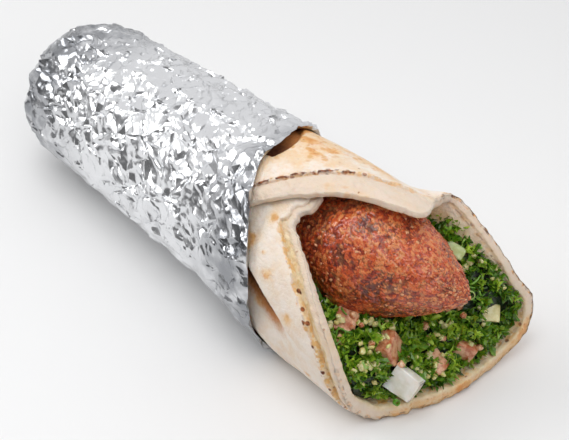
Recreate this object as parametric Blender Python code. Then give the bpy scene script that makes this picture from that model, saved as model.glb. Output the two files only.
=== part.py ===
"""Kibbeh wrap: a fried kibbeh on tabbouleh, rolled in a two-ply flatbread and held in a foil sleeve.

The roll lies along +X with its open mouth at +X.  The bread is one sheet: it starts under the top
flap, goes down the left side, under the food, up the right side and over the top, where it laps
over its own start.  A place on the sheet is a turn angle (degrees round the roll, 90 at the top,
180 at the left, 270 at the bottom) and an x along the roll.

Lengths are in millimetres; MM turns them into metres where a mesh is made.
"""

import math
import random

import bmesh
import bpy
import numpy as np
from mathutils import Euler, Matrix, Vector
from mathutils.kdtree import KDTree

MM = 0.001

# ---------------------------------------------------------------- driving dimensions
AXIS_NEAR_END = 30.4        # height of the roll's axis where the foil's end cap starts, x = 0
AXIS_MOUTH = 34.5           # height of the axis from AXIS_RISE on
AXIS_RISE = 131.0           # x where the roll reaches its full girth
ORIGIN = (84.59, 5.83)       # x and y of the middle of the whole wrap

BREAD_INSET = 1.7           # from the axis height down to the bread's radius under the foil
BREAD_SPRING = 1.2          # how much the bread swells where the foil lets go of it
SWELL = (85.0, 130.0)       # x over which it swells
MOUTH_RADIUS = 34.0         # the bread's plain radius near the mouth
LAP_DROP = 4.0              # how far the sheet's start lies below the flap that laps it
FOLD_DEPTH = 3.0            # the pleat in the left side, at the foil
FOLD_TURN = 173.0           # turn angle of the pleat's edge at FOLD_X
FOLD_X = 136.0
FOLD_REACH = 24.0           # how far the pleat runs towards the mouth
FOLD_SLANT = 1.9            # degrees that its edge turns for each millimetre of x
FOLD_LEDGE = 5.0            # degrees over which its edge drops
FOLD_WIDTH = 48.0           # degrees over which it comes back up
HIDDEN_ROWS = (-14.0, -7.0, 0.0, 50.0, 85.0, 92.0)  # x of the rows of faces under the foil
STEP_DEPTH = 1.1            # how far the outer ply stands above the inner ply's band
GROOVE_DEPTH = 1.0          # how much deeper the gap between the plies is at the left side

GAP = 0.4                   # clearance between neighbours
FOIL_WALL = 1.1             # foil with its creases, as one wall
FOIL_CAP = 25.0             # length of the rounded closed end
CAP_SINK = 4.0              # how far the tip of the closed end lies below the axis
CREASE = 1.3                # height of the foil's creases
EDGE_LIFT = 1.0             # how far the foil's torn edge stands off the bread
FOIL_FLOOR = 1.1            # inner skin of the foil under the bread

KIBBEH_CENTRE = (152.3, 5.2, 41.0)
KIBBEH_HALF = 39.0          # half its length
KIBBEH_RADIUS = 22.0
KIBBEH_YAW = 12.0           # degrees it is turned towards the right flap
KIBBEH_POINT = 1.35         # lower is more pointed
CRAG_SIZES = (7.0, 3.4)     # width of the crust's coarse and fine lumps
CRAG_HEIGHT = 0.35

HEAP_BACK = 150.0           # x where the salad starts to slope down
HEAP_RUN = 40.0             # length of that slope
HEAP_LIP = 7.0              # height of the salad at the bread's lip
HEAP_RISE = 26.0            # how much higher it is at HEAP_BACK
HEAP_RIGHT = 13.0           # how much higher it is against the right flap
HEAP_CORNER = 3.0           # how much lower it is in the left corner of the lip
HEAP_FULL = (112.0, 132.0)  # x over which it rises to fill the roll
FRONT_X = (146.0, 190.0)    # the part of the heap that shows
FRONT_Y = (-27.0, 43.0)
UNDER_KIBBEH = 166.0        # x up to which the kibbeh covers the middle of the heap

# The mouth, as stations round the sheet:
# turn, end x, radius at the mouth, flare starts at x, flare full at x, thickness, outer ply set back
MOUTH = (
    (100, 140.0, 33.6, 120, 150, 3.4, 3.5),
    (112, 141.0, 33.6, 120, 150, 3.4, 3.5),
    (119, 139.5, 33.6, 120, 150, 3.4, 3.5),
    (127, 140.5, 33.6, 120, 150, 3.4, 3.5),
    (133, 146.0, 33.6, 120, 150, 3.4, 4.5),
    (143, 155.0, 33.6, 120, 150, 3.4, 5.5),
    (154, 163.0, 33.9, 120, 150, 3.4, 6.0),
    (168, 171.5, 34.4, 120, 150, 3.6, 6.5),
    (183, 177.5, 35.0, 120, 150, 3.8, 7.0),
    (200, 180.0, 36.0, 116, 148, 4.4, 6.5),
    (216, 180.0, 37.8, 114, 146, 5.2, 5.0),
    (229, 180.5, 39.4, 112, 145, 5.8, 3.5),
    (238, 182.5, 39.6, 114, 150, 5.9, 2.6),
    (252, 187.5, 37.0, 125, 165, 5.8, 2.4),
    (270, 191.5, 35.2, 125, 185, 5.6, 2.4),
    (288, 194.0, 36.5, 130, 188, 5.4, 2.4),
    (305, 194.0, 41.5, 130, 190, 5.2, 2.2),
    (318, 194.0, 47.5, 130, 192, 5.0, 2.0),
    (331, 194.0, 52.0, 135, 192, 4.6, 1.6),
    (344, 191.5, 50.4, 135, 190, 4.0, 1.2),
    (352, 187.0, 45.0, 135, 185, 3.4, 1.0),
    (361, 184.0, 42.0, 138, 183, 3.0, 1.0),
    (371, 177.0, 41.2, 140, 176, 2.8, 1.0),
    (380, 169.0, 41.5, 142, 169, 2.8, 1.0),
    (389, 162.5, 41.0, 144, 163, 2.8, 1.0),
    (396, 162.0, 38.2, 144, 162, 3.0, 1.2),
    (403, 163.5, 35.6, 144, 164, 3.2, 1.6),
    (412, 166.0, 34.5, 140, 165, 3.2, 2.4),
    (424, 169.5, 34.0, 140, 165, 3.2, 5.0),
    (434, 169.5, 34.0, 140, 165, 3.2, 7.0),
    (440, 163.5, 34.0, 140, 165, 3.2, 7.5),
    (446, 156.0, 34.0, 140, 165, 3.2, 7.5),
    (456, 146.5, 34.0, 140, 165, 3.2, 7.5),
    (469, 138.0, 34.0, 140, 165, 3.2, 7.5),
    (480, 130.5, 34.0, 140, 165, 3.2, 7.5),
    (491, 123.5, 34.0, 140, 165, 3.2, 7.5),
    (503, 115.0, 34.0, 140, 165, 3.2, 7.5),
    (512, 108.0, 34.0, 140, 165, 3.2, 7.5),
)
SHEET_START = MOUTH[0][0]
SHEET_END = MOUTH[-1][0]
FIRST_TURN_FROM = SHEET_END - 360.0     # before this angle the flap is the outermost layer

# The foil's torn edge: angle round the roll, x
FOIL_EDGE = (
    (0, 112), (30, 106), (64, 108), (88, 114), (100, 115), (108, 116), (122, 121), (135, 126),
    (148, 131), (162, 135), (176, 137), (196, 137), (216, 136), (236, 139), (258, 141), (280, 137),
    (300, 130), (325, 121), (345, 115), (360, 112),
)

# Diced toppings: name, centre, size, turned about x, y, z in degrees, colour
DICE = (
    ("tomato_1", (162.5, -15.5, 28.5), (8, 9, 7), (20, 15, 35), "tomato"),
    ("tomato_2", (173.5, -8.5, 21.5), (11, 10, 9), (12, -18, 20), "tomato"),
    ("tomato_3", (175.5, -15.5, 15.0), (7, 6, 6), (30, 20, 60), "tomato"),
    ("tomato_4", (184.5, 6.5, 11.0), (8, 7, 6), (15, 30, 10), "tomato"),
    ("tomato_5", (186.0, 19.5, 11.2), (8, 8, 6), (-10, 25, 40), "tomato"),
    ("onion_1", (184.7, -9.2, 12.9), (11, 9.5, 5.2), (60, 20, 15), "onion"),
    ("onion_2", (184.5, 33.0, 17.5), (8, 7, 5), (40, 10, 50), "onion"),
    ("onion_3", (154.0, -18.5, 29.5), (6, 6, 5), (10, 40, 25), "onion"),
    ("cucumber_1", (168.0, 31.5, 36.0), (8, 8, 5), (-50, 15, 20), "cucumber"),
)

# ---------------------------------------------------------------- numbers of faces
SHEET_STATIONS = 68
FOIL_ROUND = 40
CORE_ROUND = 28
WELD = 0.01                 # points closer than this are one, mm
PINCH = 0.02                # how far a pinched edge is drawn back, mm
LEAVES = 36
LEAF_SPACING = 6.0
LEAF_LIFT = 1.0             # how far a leaf's middle stands above the bare core
GRAINS = 20
GRAIN_SPACING = 6.0
RINGS = 3
RING_SPACING = 14.0


# ---------------------------------------------------------------- small maths
def ramp(value, low, high):
    """Smooth step: 0 below low, 1 above high."""
    t = np.clip((np.asarray(value, float) - low) / (high - low), 0.0, 1.0)
    return t * t * (3.0 - 2.0 * t)


def smooth_table(table, steps=8):
    """The table's rows joined by a Catmull-Rom curve."""
    rows = np.array(table, float)
    padded = np.vstack([rows[:1], rows, rows[-1:]])
    t = np.linspace(0.0, 1.0, steps, endpoint=False)[:, None]
    spans = []
    for a, b, c, d in zip(padded, padded[1:], padded[2:], padded[3:]):
        spans.append(0.5 * (2 * b + (c - a) * t + (2 * a - 5 * b + 4 * c - d) * t**2
                            + (3 * b - a - 3 * c + d) * t**3))
    return np.vstack(spans + [rows[-1:]])


MOUTH_CURVE = smooth_table(MOUTH)
FOIL_CURVE = smooth_table(FOIL_EDGE)


def mouth(turn, column):
    """One column of the mouth's table at a turn angle."""
    return np.interp(turn, MOUTH_CURVE[:, 0], MOUTH_CURVE[:, column])


def lumps(points, size, seed):
    """Smooth noise from a few sine waves, about -1 to 1."""
    rng = np.random.default_rng(seed)
    total = np.zeros(points.shape[:-1])
    for _ in range(7):
        wave = rng.normal(size=3)
        wave *= 2 * math.pi / (size * rng.uniform(0.7, 1.5) * np.linalg.norm(wave))
        total += np.sin(points @ wave + rng.uniform(0, 2 * math.pi))
    return total / 3.2


# ---------------------------------------------------------------- the rolled sheet as a formula
def closing(x):
    """How far along the closed end a place is, 0 to 1 at the tip."""
    return np.clip(-np.asarray(x, float) / FOIL_CAP, 0, 1)


def axis_height(x):
    """Height of the middle of the roll."""
    rise = (AXIS_MOUTH - AXIS_NEAR_END) * np.clip(np.asarray(x, float) / AXIS_RISE, 0, 1)
    return AXIS_NEAR_END + rise - CAP_SINK * closing(x) ** 2


def girth(x):
    """The closed end rounds in to a point."""
    return np.sqrt(1 - closing(x) ** 2.4)


def table_height(x):
    """Underside of the bread: on the foil, then on the table in front of it."""
    return 1.6 - 1.3 * ramp(x, 142, 152)


def roll_radius(turn, x):
    """Radius of the roll's outline with no lap and no pleat."""
    swell = BREAD_SPRING * ramp(x, *SWELL)
    flare = np.clip((x - mouth(turn, 3)) / (mouth(turn, 4) - mouth(turn, 3)), 0, 1)
    flare = flare * flare * (3 - 2 * flare)
    plain = axis_height(np.maximum(x, 0)) - BREAD_INSET + swell
    return (plain + (mouth(turn, 2) - MOUTH_RADIUS) * flare) * girth(x)


def lap(turn, x):
    """How far the sheet's start dips to pass under the flap."""
    lap_end = FIRST_TURN_FROM - 37 * ramp(x, 110, 142)
    return LAP_DROP * (1 - ramp((turn - lap_end) / 45, 0, 1))


def pleat(turn, x):
    """The fold in the left side: a ledge at its upper edge that fades towards the mouth."""
    edge = FOLD_TURN + FOLD_SLANT * (x - FOLD_X)
    ledge = ramp((turn - edge) / FOLD_LEDGE, 0, 1) * (1 - ramp((turn - edge) / FOLD_WIDTH, 0.2, 1))
    return FOLD_DEPTH * ledge * (1 - ramp((x - FOLD_X) / FOLD_REACH, 0, 1)) * ramp(x, 95, 115)


def outer_face(turn, x):
    """A point of the sheet's outer face."""
    radius = roll_radius(turn, x) - lap(turn, x) - pleat(turn, x)
    angle = np.radians(turn)
    y = radius * np.cos(angle)
    z = axis_height(x) + radius * np.sin(angle)
    above = z - table_height(x)
    z = table_height(x) + 0.5 * (above + np.sqrt(above * above + 0.25))
    return np.stack([x + 0 * y, y, z], axis=-1)


def sheet_point(turn, x, depth):
    """A point at a depth below the outer face, square to it."""
    point = outer_face(turn, x)
    round_the_roll = outer_face(turn + 1.0, x) - outer_face(turn - 1.0, x)
    along = outer_face(turn, x + 1.0) - outer_face(turn, x - 1.0)
    inward = np.cross(round_the_roll, along)
    inward /= np.linalg.norm(inward, axis=-1, keepdims=True)
    return point - inward * np.asarray(depth)[..., None]


def rim_slant(turn):
    """Distance along x for each millimetre square to the rim."""
    slope = (mouth(turn + 1, 1) - mouth(turn - 1, 1)) / (2 * math.radians(1) * 34.0)
    return np.minimum(np.sqrt(1 + slope * slope), 2.4)


# ---------------------------------------------------------------- meshes
def to_mesh(bm, name):
    """The bmesh, with its faces out, as a mesh in metres."""
    bmesh.ops.recalc_face_normals(bm, faces=bm.faces)
    if bm.calc_volume(signed=True) < 0:
        bmesh.ops.reverse_faces(bm, faces=bm.faces)
    bmesh.ops.scale(bm, vec=(MM, MM, MM), verts=bm.verts)
    mesh = bpy.data.meshes.new(name)
    bm.to_mesh(mesh)
    bm.free()
    return mesh


def finish_object(bm, name, material, parent):
    """Make the bmesh one named object, smooth where it is round."""
    mesh = to_mesh(bm, name)
    mesh.shade_smooth()
    mesh.set_sharp_from_angle(angle=math.radians(40))
    obj = bpy.data.objects.new(name, mesh)
    bpy.context.collection.objects.link(obj)
    obj.parent = parent
    if material:
        mesh.materials.append(material)
    return obj


def loft(rows, fill=True):
    """A skin through a grid of points: coincident points are joined and open ends filled."""
    rows = np.asarray(rows, float)
    count_y, count_x = rows.shape[:2]
    bm = bmesh.new()
    bmesh.ops.create_grid(bm, x_segments=count_x - 1, y_segments=count_y - 1, size=1)
    bm.verts.ensure_lookup_table()
    for vert, point in zip(bm.verts, rows.reshape(-1, 3)):
        vert.co = Vector(point)
    bmesh.ops.remove_doubles(bm, verts=bm.verts, dist=WELD)
    edges = [edge for edge in bm.edges if edge.is_boundary]
    if edges and fill:
        bmesh.ops.holes_fill(bm, edges=edges, sides=0)
    return bm


def closed_columns(rows):
    """Repeat the first column after the last one, so that the skin closes."""
    return np.concatenate([rows, rows[:, :1]], axis=1)


def principled(name, colour, roughness=0.6, metallic=0.0):
    """A plain finish."""
    material = bpy.data.materials.new(name)
    material.use_nodes = True
    shader = material.node_tree.nodes["Principled BSDF"]
    shader.inputs["Base Color"].default_value = (*colour, 1.0)
    shader.inputs["Roughness"].default_value = roughness
    shader.inputs["Metallic"].default_value = metallic
    return material


def make_flatbread(parent):
    """The sheet: outer face, step down to the inner ply, rounded rim, inner face."""
    curve = MOUTH_CURVE[:, :2] * (0.6, 1.0)
    run = np.concatenate([[0], np.cumsum(np.linalg.norm(np.diff(curve, axis=0), axis=1))])
    turns = np.interp(np.linspace(0, run[-1], SHEET_STATIONS), run, MOUTH_CURVE[:, 0])
    end, thick, slant = mouth(turns, 1), mouth(turns, 5), rim_slant(turns)
    step = mouth(turns, 6) * slant
    groove = GROOVE_DEPTH * ramp(turns, 120, 140) * (1 - ramp(turns, 205, 228))
    ledge = STEP_DEPTH * ramp(mouth(turns, 6), 1.0, 3.0)
    chain = []
    for x in HIDDEN_ROWS:
        chain.append((x + 0 * end, 0 * end))
    for part in (0.25, 0.5, 0.75, 1.0):
        x = HIDDEN_ROWS[-1] + (end - step - HIDDEN_ROWS[-1]) * part
        chain.append((x, 0 * x))
    chain.append((end - step * 0.93, ledge + groove))
    chain.append((end - step * 0.5, ledge + groove * 0.8))
    chain.append((end - 0.25 * step - 0.3, ledge * 0.6))
    chain.append((end, 0.35 * thick))
    chain.append((end - 0.1, 0.72 * thick))
    chain.append((end - 0.9, thick))
    for part in (0.85, 0.62, 0.4, 0.2):
        x = HIDDEN_ROWS[-1] + (end - 0.9 - HIDDEN_ROWS[-1]) * part
        chain.append((x, thick))
    for x in HIDDEN_ROWS[::-1]:
        chain.append((x + 0 * end, thick))
    grid = np.stack([sheet_point(turns, x, depth) for x, depth in chain], axis=1)
    bm = loft(closed_columns(grid))
    return finish_object(bm, "flatbread", principled("baked_bread", (0.80, 0.62, 0.42), 0.75), parent)


def outermost(angle):
    """Turn angle of the outermost layer at an angle round the roll."""
    return np.where(angle < FIRST_TURN_FROM, angle + 360, angle)


def foil_point(angle, x, out):
    """A point outside the roll by a distance."""
    radius = roll_radius(outermost(angle), x) + out * girth(x)
    angle = np.radians(angle)
    z = axis_height(x) + radius * np.sin(angle)
    return np.stack([x + 0 * radius, radius * np.cos(angle), z], axis=-1)


def foil_lift(angle, x):
    """How far the foil stands off the bread near its torn edge: a little all round, more at the top."""
    top = ramp(np.cos(np.radians(angle - 78)), 0.5, 1.0)
    return EDGE_LIFT * ramp(x, 100, 122) * (0.5 + top)


def make_foil(parent):
    """A creased sleeve: a flat-bottomed outer skin of random facets and a plain inner skin."""
    rng = np.random.default_rng(7)
    angles = np.linspace(0, 360, FOIL_ROUND, endpoint=False)
    lengths = np.concatenate([[-1.0, -0.96, -0.82, -0.6, -0.34, -0.1], np.linspace(0.04, 1, 22)])
    rows = []
    for number, part in enumerate(lengths):
        inside = 0 < number < len(lengths) - 1
        angle = angles + (rng.uniform(-3.4, 3.4, FOIL_ROUND) if inside else 0)
        angle = (angle + (number % 2) * 180 / FOIL_ROUND) % 360
        edge = np.interp(angle, FOIL_CURVE[:, 0], FOIL_CURVE[:, 1])
        slide = rng.uniform(-1.9, 1.9, FOIL_ROUND) * (1 if inside else 0)
        x = part * FOIL_CAP if part < 0 else part * edge
        x = x + slide * (0.3 if part < 0 else 1.0)
        lift = foil_lift(angle, x)
        crease = rng.uniform(-0.25, 0.75, FOIL_ROUND) * CREASE * (0 if part == -1 else 1)
        skin = foil_point(angle, np.maximum(x, -FOIL_CAP), GAP + FOIL_WALL + lift + crease)
        skin[:, 2] = np.maximum(skin[:, 2], 0.0)
        rows.append(skin)
    edge = np.interp(angles, FOIL_CURVE[:, 0], FOIL_CURVE[:, 1])
    shown = [HIDDEN_ROWS[-1] + (edge - 0.2 - HIDDEN_ROWS[-1]) * part for part in (1, 0.8, 0.6, 0.4, 0.2)]
    hidden = [x + 0 * edge for x in HIDDEN_ROWS[::-1] + (-18.0, -20.0)]
    for x in shown + hidden:
        skin = foil_point(angles, x, GAP + foil_lift(angles, x))
        skin[:, 2] = np.maximum(skin[:, 2], FOIL_FLOOR)
        rows.append(skin)
    rows[-1][:, 1:] = (0.0, axis_height(-20.0))
    bm = loft(closed_columns(np.array(rows)))
    return finish_object(bm, "foil_sleeve", principled("foil", (0.86, 0.87, 0.88), 0.3, 1.0), parent)


def kibbeh_skin(grow, crags):
    """The torpedo as a turned ball, swollen by grow, with crags in its crust."""
    bm = bmesh.new()
    bmesh.ops.create_uvsphere(bm, u_segments=28, v_segments=22, radius=1)
    turn = Matrix.Rotation(math.radians(KIBBEH_YAW), 3, "Z")
    for vert in bm.verts:
        along = max(-1.0, min(1.0, vert.co.z))
        radius = KIBBEH_RADIUS * (1 - abs(along) ** KIBBEH_POINT) ** 0.75 + grow
        side = Vector((vert.co.x, vert.co.y)).normalized()
        point = Vector((along * (KIBBEH_HALF + grow), side.x * radius, side.y * radius))
        if crags:
            coarse = lumps(np.array(point), CRAG_SIZES[0], 3)
            fine = lumps(np.array(point), CRAG_SIZES[1], 4)
            point *= 1 + float(crags * (coarse + 0.5 * fine)) / max(point.length, 6.0)
        vert.co = turn @ point + Vector(KIBBEH_CENTRE)
    return bm


def make_kibbeh(parent):
    """The fried torpedo, whole: it runs back into the roll."""
    bm = kibbeh_skin(0.0, CRAG_HEIGHT)
    return finish_object(bm, "kibbeh", principled("fried_crust", (0.32, 0.13, 0.07), 0.65), parent)


# ---------------------------------------------------------------- tabbouleh
def heap_height(x, y):
    """Top of the salad: high behind the kibbeh, sloping to the bread's lip, higher at the right."""
    forward = np.clip((x - HEAP_BACK) / HEAP_RUN, 0, 1.15)
    slope = HEAP_LIP + HEAP_RISE * (1 - forward * forward)
    right = HEAP_RIGHT * ramp(y, 10, 36) * (1 - ramp(x, 183, 193))
    corner = HEAP_CORNER * ramp(x, 178, 190) * (1 - ramp(y, -14, -4))
    return slope + right - corner + 40 * (1 - ramp(x, *HEAP_FULL))


def cavity_ring(x, clearance):
    """The hollow of the roll at x, a clearance inside the bread."""
    angle = np.linspace(0, 360, CORE_ROUND, endpoint=False) + 100
    turn = np.where(angle >= 460, angle - 360, angle)
    radius = roll_radius(turn, x) - 1.3 * lap(turn, x) - pleat(turn, x) - 1.12 * mouth(turn, 5)
    radius = radius - LAP_DROP * ramp(turn, 425, 458) - clearance
    rad = np.radians(turn)
    y = radius * np.cos(rad)
    z = axis_height(x) + radius * np.sin(rad)
    floor = table_height(x) + mouth(turn, 5) + clearance + 0.4
    return np.stack([x + 0 * y, y, np.maximum(z, floor)], axis=-1)


def make_cavity():
    """The roll's hollow as a solid, to trim the salad with."""
    stations = (-12, 30, 70, 100, 115, 125, 135, 143, 150, 157, 164, 171, 177, 183, 189, 195)
    rows = np.array([cavity_ring(x, 0.8) for x in stations])
    return loft(closed_columns(rows))


def make_core():
    """The bare heap: its lumpy top over a block that the hollow of the roll then trims."""
    columns = np.array((-40, -28, -21, -14, -6, 4, 13, 20, 26, 32, 38, 44, 55), float)
    stations = np.array((-11.5, 60, 112, 122, 132, 144, 152, 160, 167, 174, 180, 186, 191), float)
    y, x = np.meshgrid(columns, stations)
    top = np.stack([x, y, heap_height(x, y)], axis=-1)
    top[..., 2] += 0.6 * lumps(top, 9, 5) - 0.3
    bm = loft(top, fill=False)
    walls = bmesh.ops.extrude_edge_only(bm, edges=[edge for edge in bm.edges if edge.is_boundary])
    for vert in walls["geom"]:
        if isinstance(vert, bmesh.types.BMVert):
            vert.co.z = -5.0
    bmesh.ops.holes_fill(bm, edges=[edge for edge in bm.edges if edge.is_boundary], sides=0)
    return bm


def heap_spots(count, spacing, seed):
    """Places spread evenly over the heap's showing front, with the surface's facing."""
    rng = random.Random(seed)
    yaw_slope = math.tan(math.radians(KIBBEH_YAW))
    spots = []
    for _ in range(4000):
        x = rng.uniform(*FRONT_X)
        y = rng.uniform(*FRONT_Y)
        z = float(heap_height(x, y))
        off_kibbeh = y - KIBBEH_CENTRE[1] - yaw_slope * (x - KIBBEH_CENTRE[0])
        if x < UNDER_KIBBEH and abs(off_kibbeh) < 0.6 * KIBBEH_RADIUS:
            continue
        if all((x - a[0]) ** 2 + (y - a[1]) ** 2 + (z - a[2]) ** 2 > spacing ** 2 for a in spots):
            spots.append((x, y, z))
        if len(spots) == count:
            break
    placed = []
    for x, y, z in spots:
        dx = float(heap_height(x + 1, y) - heap_height(x - 1, y)) / 2
        dy = float(heap_height(x, y + 1) - heap_height(x, y - 1)) / 2
        placed.append((Vector((x, y, z)), Vector((-dx, -dy, 1)).normalized(), rng))
    return placed


def place(bm, centre, facing, spin, tilt):
    """Turn a piece modelled round the origin so that its +Z faces out of the heap."""
    turn = facing.to_track_quat("Z", "Y").to_matrix() @ Euler(tilt).to_matrix()
    turn = turn @ Matrix.Rotation(spin, 3, "Z")
    for vert in bm.verts:
        vert.co = turn @ vert.co + centre


def leaf(centre, facing, rng):
    """A parsley leaf: a lobed, wavy plate, both faces split alike."""
    bm = bmesh.new()
    bmesh.ops.create_circle(bm, segments=8, radius=1, cap_ends=True, cap_tris=True)
    size, bend = rng.uniform(3.2, 4.8), rng.uniform(0.8, 1.8)
    for vert in bm.verts:
        round_angle = math.atan2(vert.co.y, vert.co.x)
        far = vert.co.length
        lobe = 1 + 0.32 * math.cos(3 * round_angle) * far
        vert.co = Vector((vert.co.x * lobe * size, vert.co.y * lobe * size * 0.8,
                          bend * math.sin(2 * round_angle + 1) * far - 0.5 * bend * far))
    bmesh.ops.solidify(bm, geom=bm.faces[:] + bm.edges[:] + bm.verts[:], thickness=0.7)
    tilt = (rng.uniform(-0.6, 0.6), rng.uniform(-0.6, 0.6), 0)
    place(bm, centre + facing * LEAF_LIFT, facing, rng.uniform(0, 6.28), tilt)
    return bm


def grain(centre, facing, rng):
    """A swollen bulgur grain."""
    bm = bmesh.new()
    bmesh.ops.create_icosphere(bm, subdivisions=1, radius=1)
    for vert in bm.verts:
        vert.co = Vector((vert.co.x * 1.5, vert.co.y * 1.05, vert.co.z * 1.0))
    place(bm, centre + facing * 0.2, facing, rng.uniform(0, 6.28), (0, 0, 0))
    return bm


def onion_ring(centre, facing, rng):
    """A slice of spring onion: a short thick-walled tube."""
    bm = bmesh.new()
    profile = [(2.5, -1.4), (2.5, 1.4), (1.4, 1.4), (1.4, -1.4)]
    verts = [bm.verts.new((radius, 0, z)) for radius, z in profile]
    ring = [bm.edges.new((verts[i], verts[(i + 1) % 4])) for i in range(4)]
    bmesh.ops.spin(bm, geom=verts + ring, axis=(0, 0, 1), cent=(0, 0, 0), steps=9,
                   angle=2 * math.pi, use_merge=True)
    bmesh.ops.remove_doubles(bm, verts=bm.verts, dist=WELD)
    place(bm, centre + facing * 0.4, facing, rng.uniform(0, 6.28), (rng.uniform(0.2, 0.9), 0, 0))
    return bm


def dice_block(centre, size, turned, grow):
    """A cut cube with soft edges, swollen by grow."""
    bm = bmesh.new()
    bmesh.ops.create_cube(bm, size=1)
    for vert in bm.verts:
        skew = 1 - 0.12 * (vert.co.z > 0) * (vert.co.x > 0)
        vert.co = Vector([part * (side + 2 * grow) * skew for part, side in zip(vert.co, size)])
    bmesh.ops.bevel(bm, geom=bm.edges[:], offset=0.9, segments=1, affect="EDGES", profile=0.5)
    turn = Euler([math.radians(part) for part in turned]).to_matrix()
    for vert in bm.verts:
        vert.co = turn @ vert.co + Vector(centre)
    return bm


def boolean(obj, operation, collection):
    """Apply one Boolean with all of a collection, then remove the collection's objects.

    The exact solver fails among so many crossing leaves; the manifold one closes them.
    """
    modifier = obj.modifiers.new(operation, "BOOLEAN")
    modifier.operation = operation
    modifier.operand_type = "COLLECTION"
    modifier.collection = collection
    modifier.solver = "MANIFOLD"
    result = bpy.data.meshes.new_from_object(
        obj.evaluated_get(bpy.context.evaluated_depsgraph_get()))
    obj.modifiers.clear()
    obj.data = result
    for cutter in list(collection.objects):
        bpy.data.objects.remove(cutter)
    bpy.data.collections.remove(collection)


def tool_collection(name, meshes):
    """Hidden helper objects in a collection of their own, for one Boolean."""
    collection = bpy.data.collections.new(name)
    bpy.context.scene.collection.children.link(collection)
    for number, bm in enumerate(meshes):
        helper = bpy.data.objects.new(f"{name}_{number}", to_mesh(bm, name))
        helper.hide_render = True
        helper.display_type = "WIRE"
        collection.objects.link(helper)
    return collection


def apart(pieces):
    """Sort meshes into groups whose members stay clear of one another, as one Boolean needs."""
    groups = []
    for bm in pieces:
        centre = sum((vert.co for vert in bm.verts), Vector()) / len(bm.verts)
        reach = max((vert.co - centre).length for vert in bm.verts)
        for group in groups:
            if all((centre - other).length > reach + other_reach for other, other_reach, _ in group):
                group.append((centre, reach, bm))
                break
        else:
            groups.append([(centre, reach, bm)])
    return [[bm for _, _, bm in group] for group in groups]


def open_pinches(bm):
    """Where two folds of a skin meet along an edge, draw each back a little so that they part."""
    bm.normal_update()
    near = KDTree(len(bm.verts))
    for vert in bm.verts:
        near.insert(vert.co, vert.index)
    near.balance()
    pinched = [vert for vert in bm.verts if len(near.find_range(vert.co, PINCH * 0.1 * MM)) > 1]
    shifts = [vert.normal * PINCH * MM for vert in pinched]
    for vert, shift in zip(pinched, shifts):
        vert.co -= shift


def keep_largest(obj):
    """Drop loose scraps: only the body with the most faces stays."""
    bm = bmesh.new()
    bm.from_mesh(obj.data)
    bm.verts.index_update()
    left, bodies = set(bm.faces), []
    while left:
        body, front = set(), [next(iter(left))]
        while front:
            face = front.pop()
            if face in body:
                continue
            body.add(face)
            front += [other for edge in face.edges for other in edge.link_faces if other not in body]
        bodies.append(body)
        left -= body
    bodies.sort(key=len)
    scraps = [face for body in bodies[:-1] for face in body]
    bmesh.ops.delete(bm, geom=scraps, context="FACES")
    bm.verts.index_update()
    open_pinches(bm)
    bm.to_mesh(obj.data)
    bm.free()


def make_tabbouleh(parent):
    """The heap: bare core with leaves, grains and onion rings fused on, cut clear of its neighbours."""
    obj = finish_object(make_core(), "tabbouleh", principled("parsley", (0.08, 0.20, 0.03), 0.6), None)
    pieces = [leaf(*spot) for spot in heap_spots(LEAVES, LEAF_SPACING, 14)]
    pieces += [grain(*spot) for spot in heap_spots(GRAINS, GRAIN_SPACING, 23)]
    pieces += [onion_ring(*spot) for spot in heap_spots(RINGS, RING_SPACING, 31)]
    for group in apart(pieces):
        boolean(obj, "UNION", tool_collection("fused", group))
    boolean(obj, "INTERSECT", tool_collection("hollow", [make_cavity()]))
    clear = [kibbeh_skin(0.9, 0)]
    clear += [dice_block(centre, size, turned, GAP) for _, centre, size, turned, _ in DICE]
    for group in apart(clear):
        boolean(obj, "DIFFERENCE", tool_collection("clear", group))
    keep_largest(obj)
    obj.parent = parent
    return obj


def make_dice(parent):
    """Diced tomato, onion and cucumber that lie on the salad."""
    looks = {
        "tomato": principled("tomato_flesh", (0.52, 0.25, 0.17), 0.3),
        "onion": principled("onion_flesh", (0.80, 0.74, 0.60), 0.3),
        "cucumber": principled("cucumber_flesh", (0.62, 0.68, 0.42), 0.3),
    }
    for name, centre, size, turned, colour in DICE:
        finish_object(dice_block(centre, size, turned, 0.0), name, looks[colour], parent)


def main():
    """Clear the scene and build the wrap round its own middle."""
    for old in list(bpy.data.objects):
        bpy.data.objects.remove(old)
    root = bpy.data.objects.new("wrap", None)
    bpy.context.collection.objects.link(root)
    root.location = Vector((-ORIGIN[0], -ORIGIN[1], 0)) * MM
    make_foil(root)
    make_flatbread(root)
    make_kibbeh(root)
    make_dice(root)
    make_tabbouleh(root)


main()
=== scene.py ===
# %% [markdown]
# # Kibbeh wrap
# A fried kibbeh lies on tabbouleh in a rolled flatbread, and crumpled foil holds the lower half.
# The solid model is loaded first as a fixed frame: it gives every piece its place and size.
# Each piece is then modelled again with the fine shape and the finish of the real food.

import itertools
import math
import random

import bmesh
import bpy
import numpy as np
from mathutils import Euler, Matrix, Vector, kdtree


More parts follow.
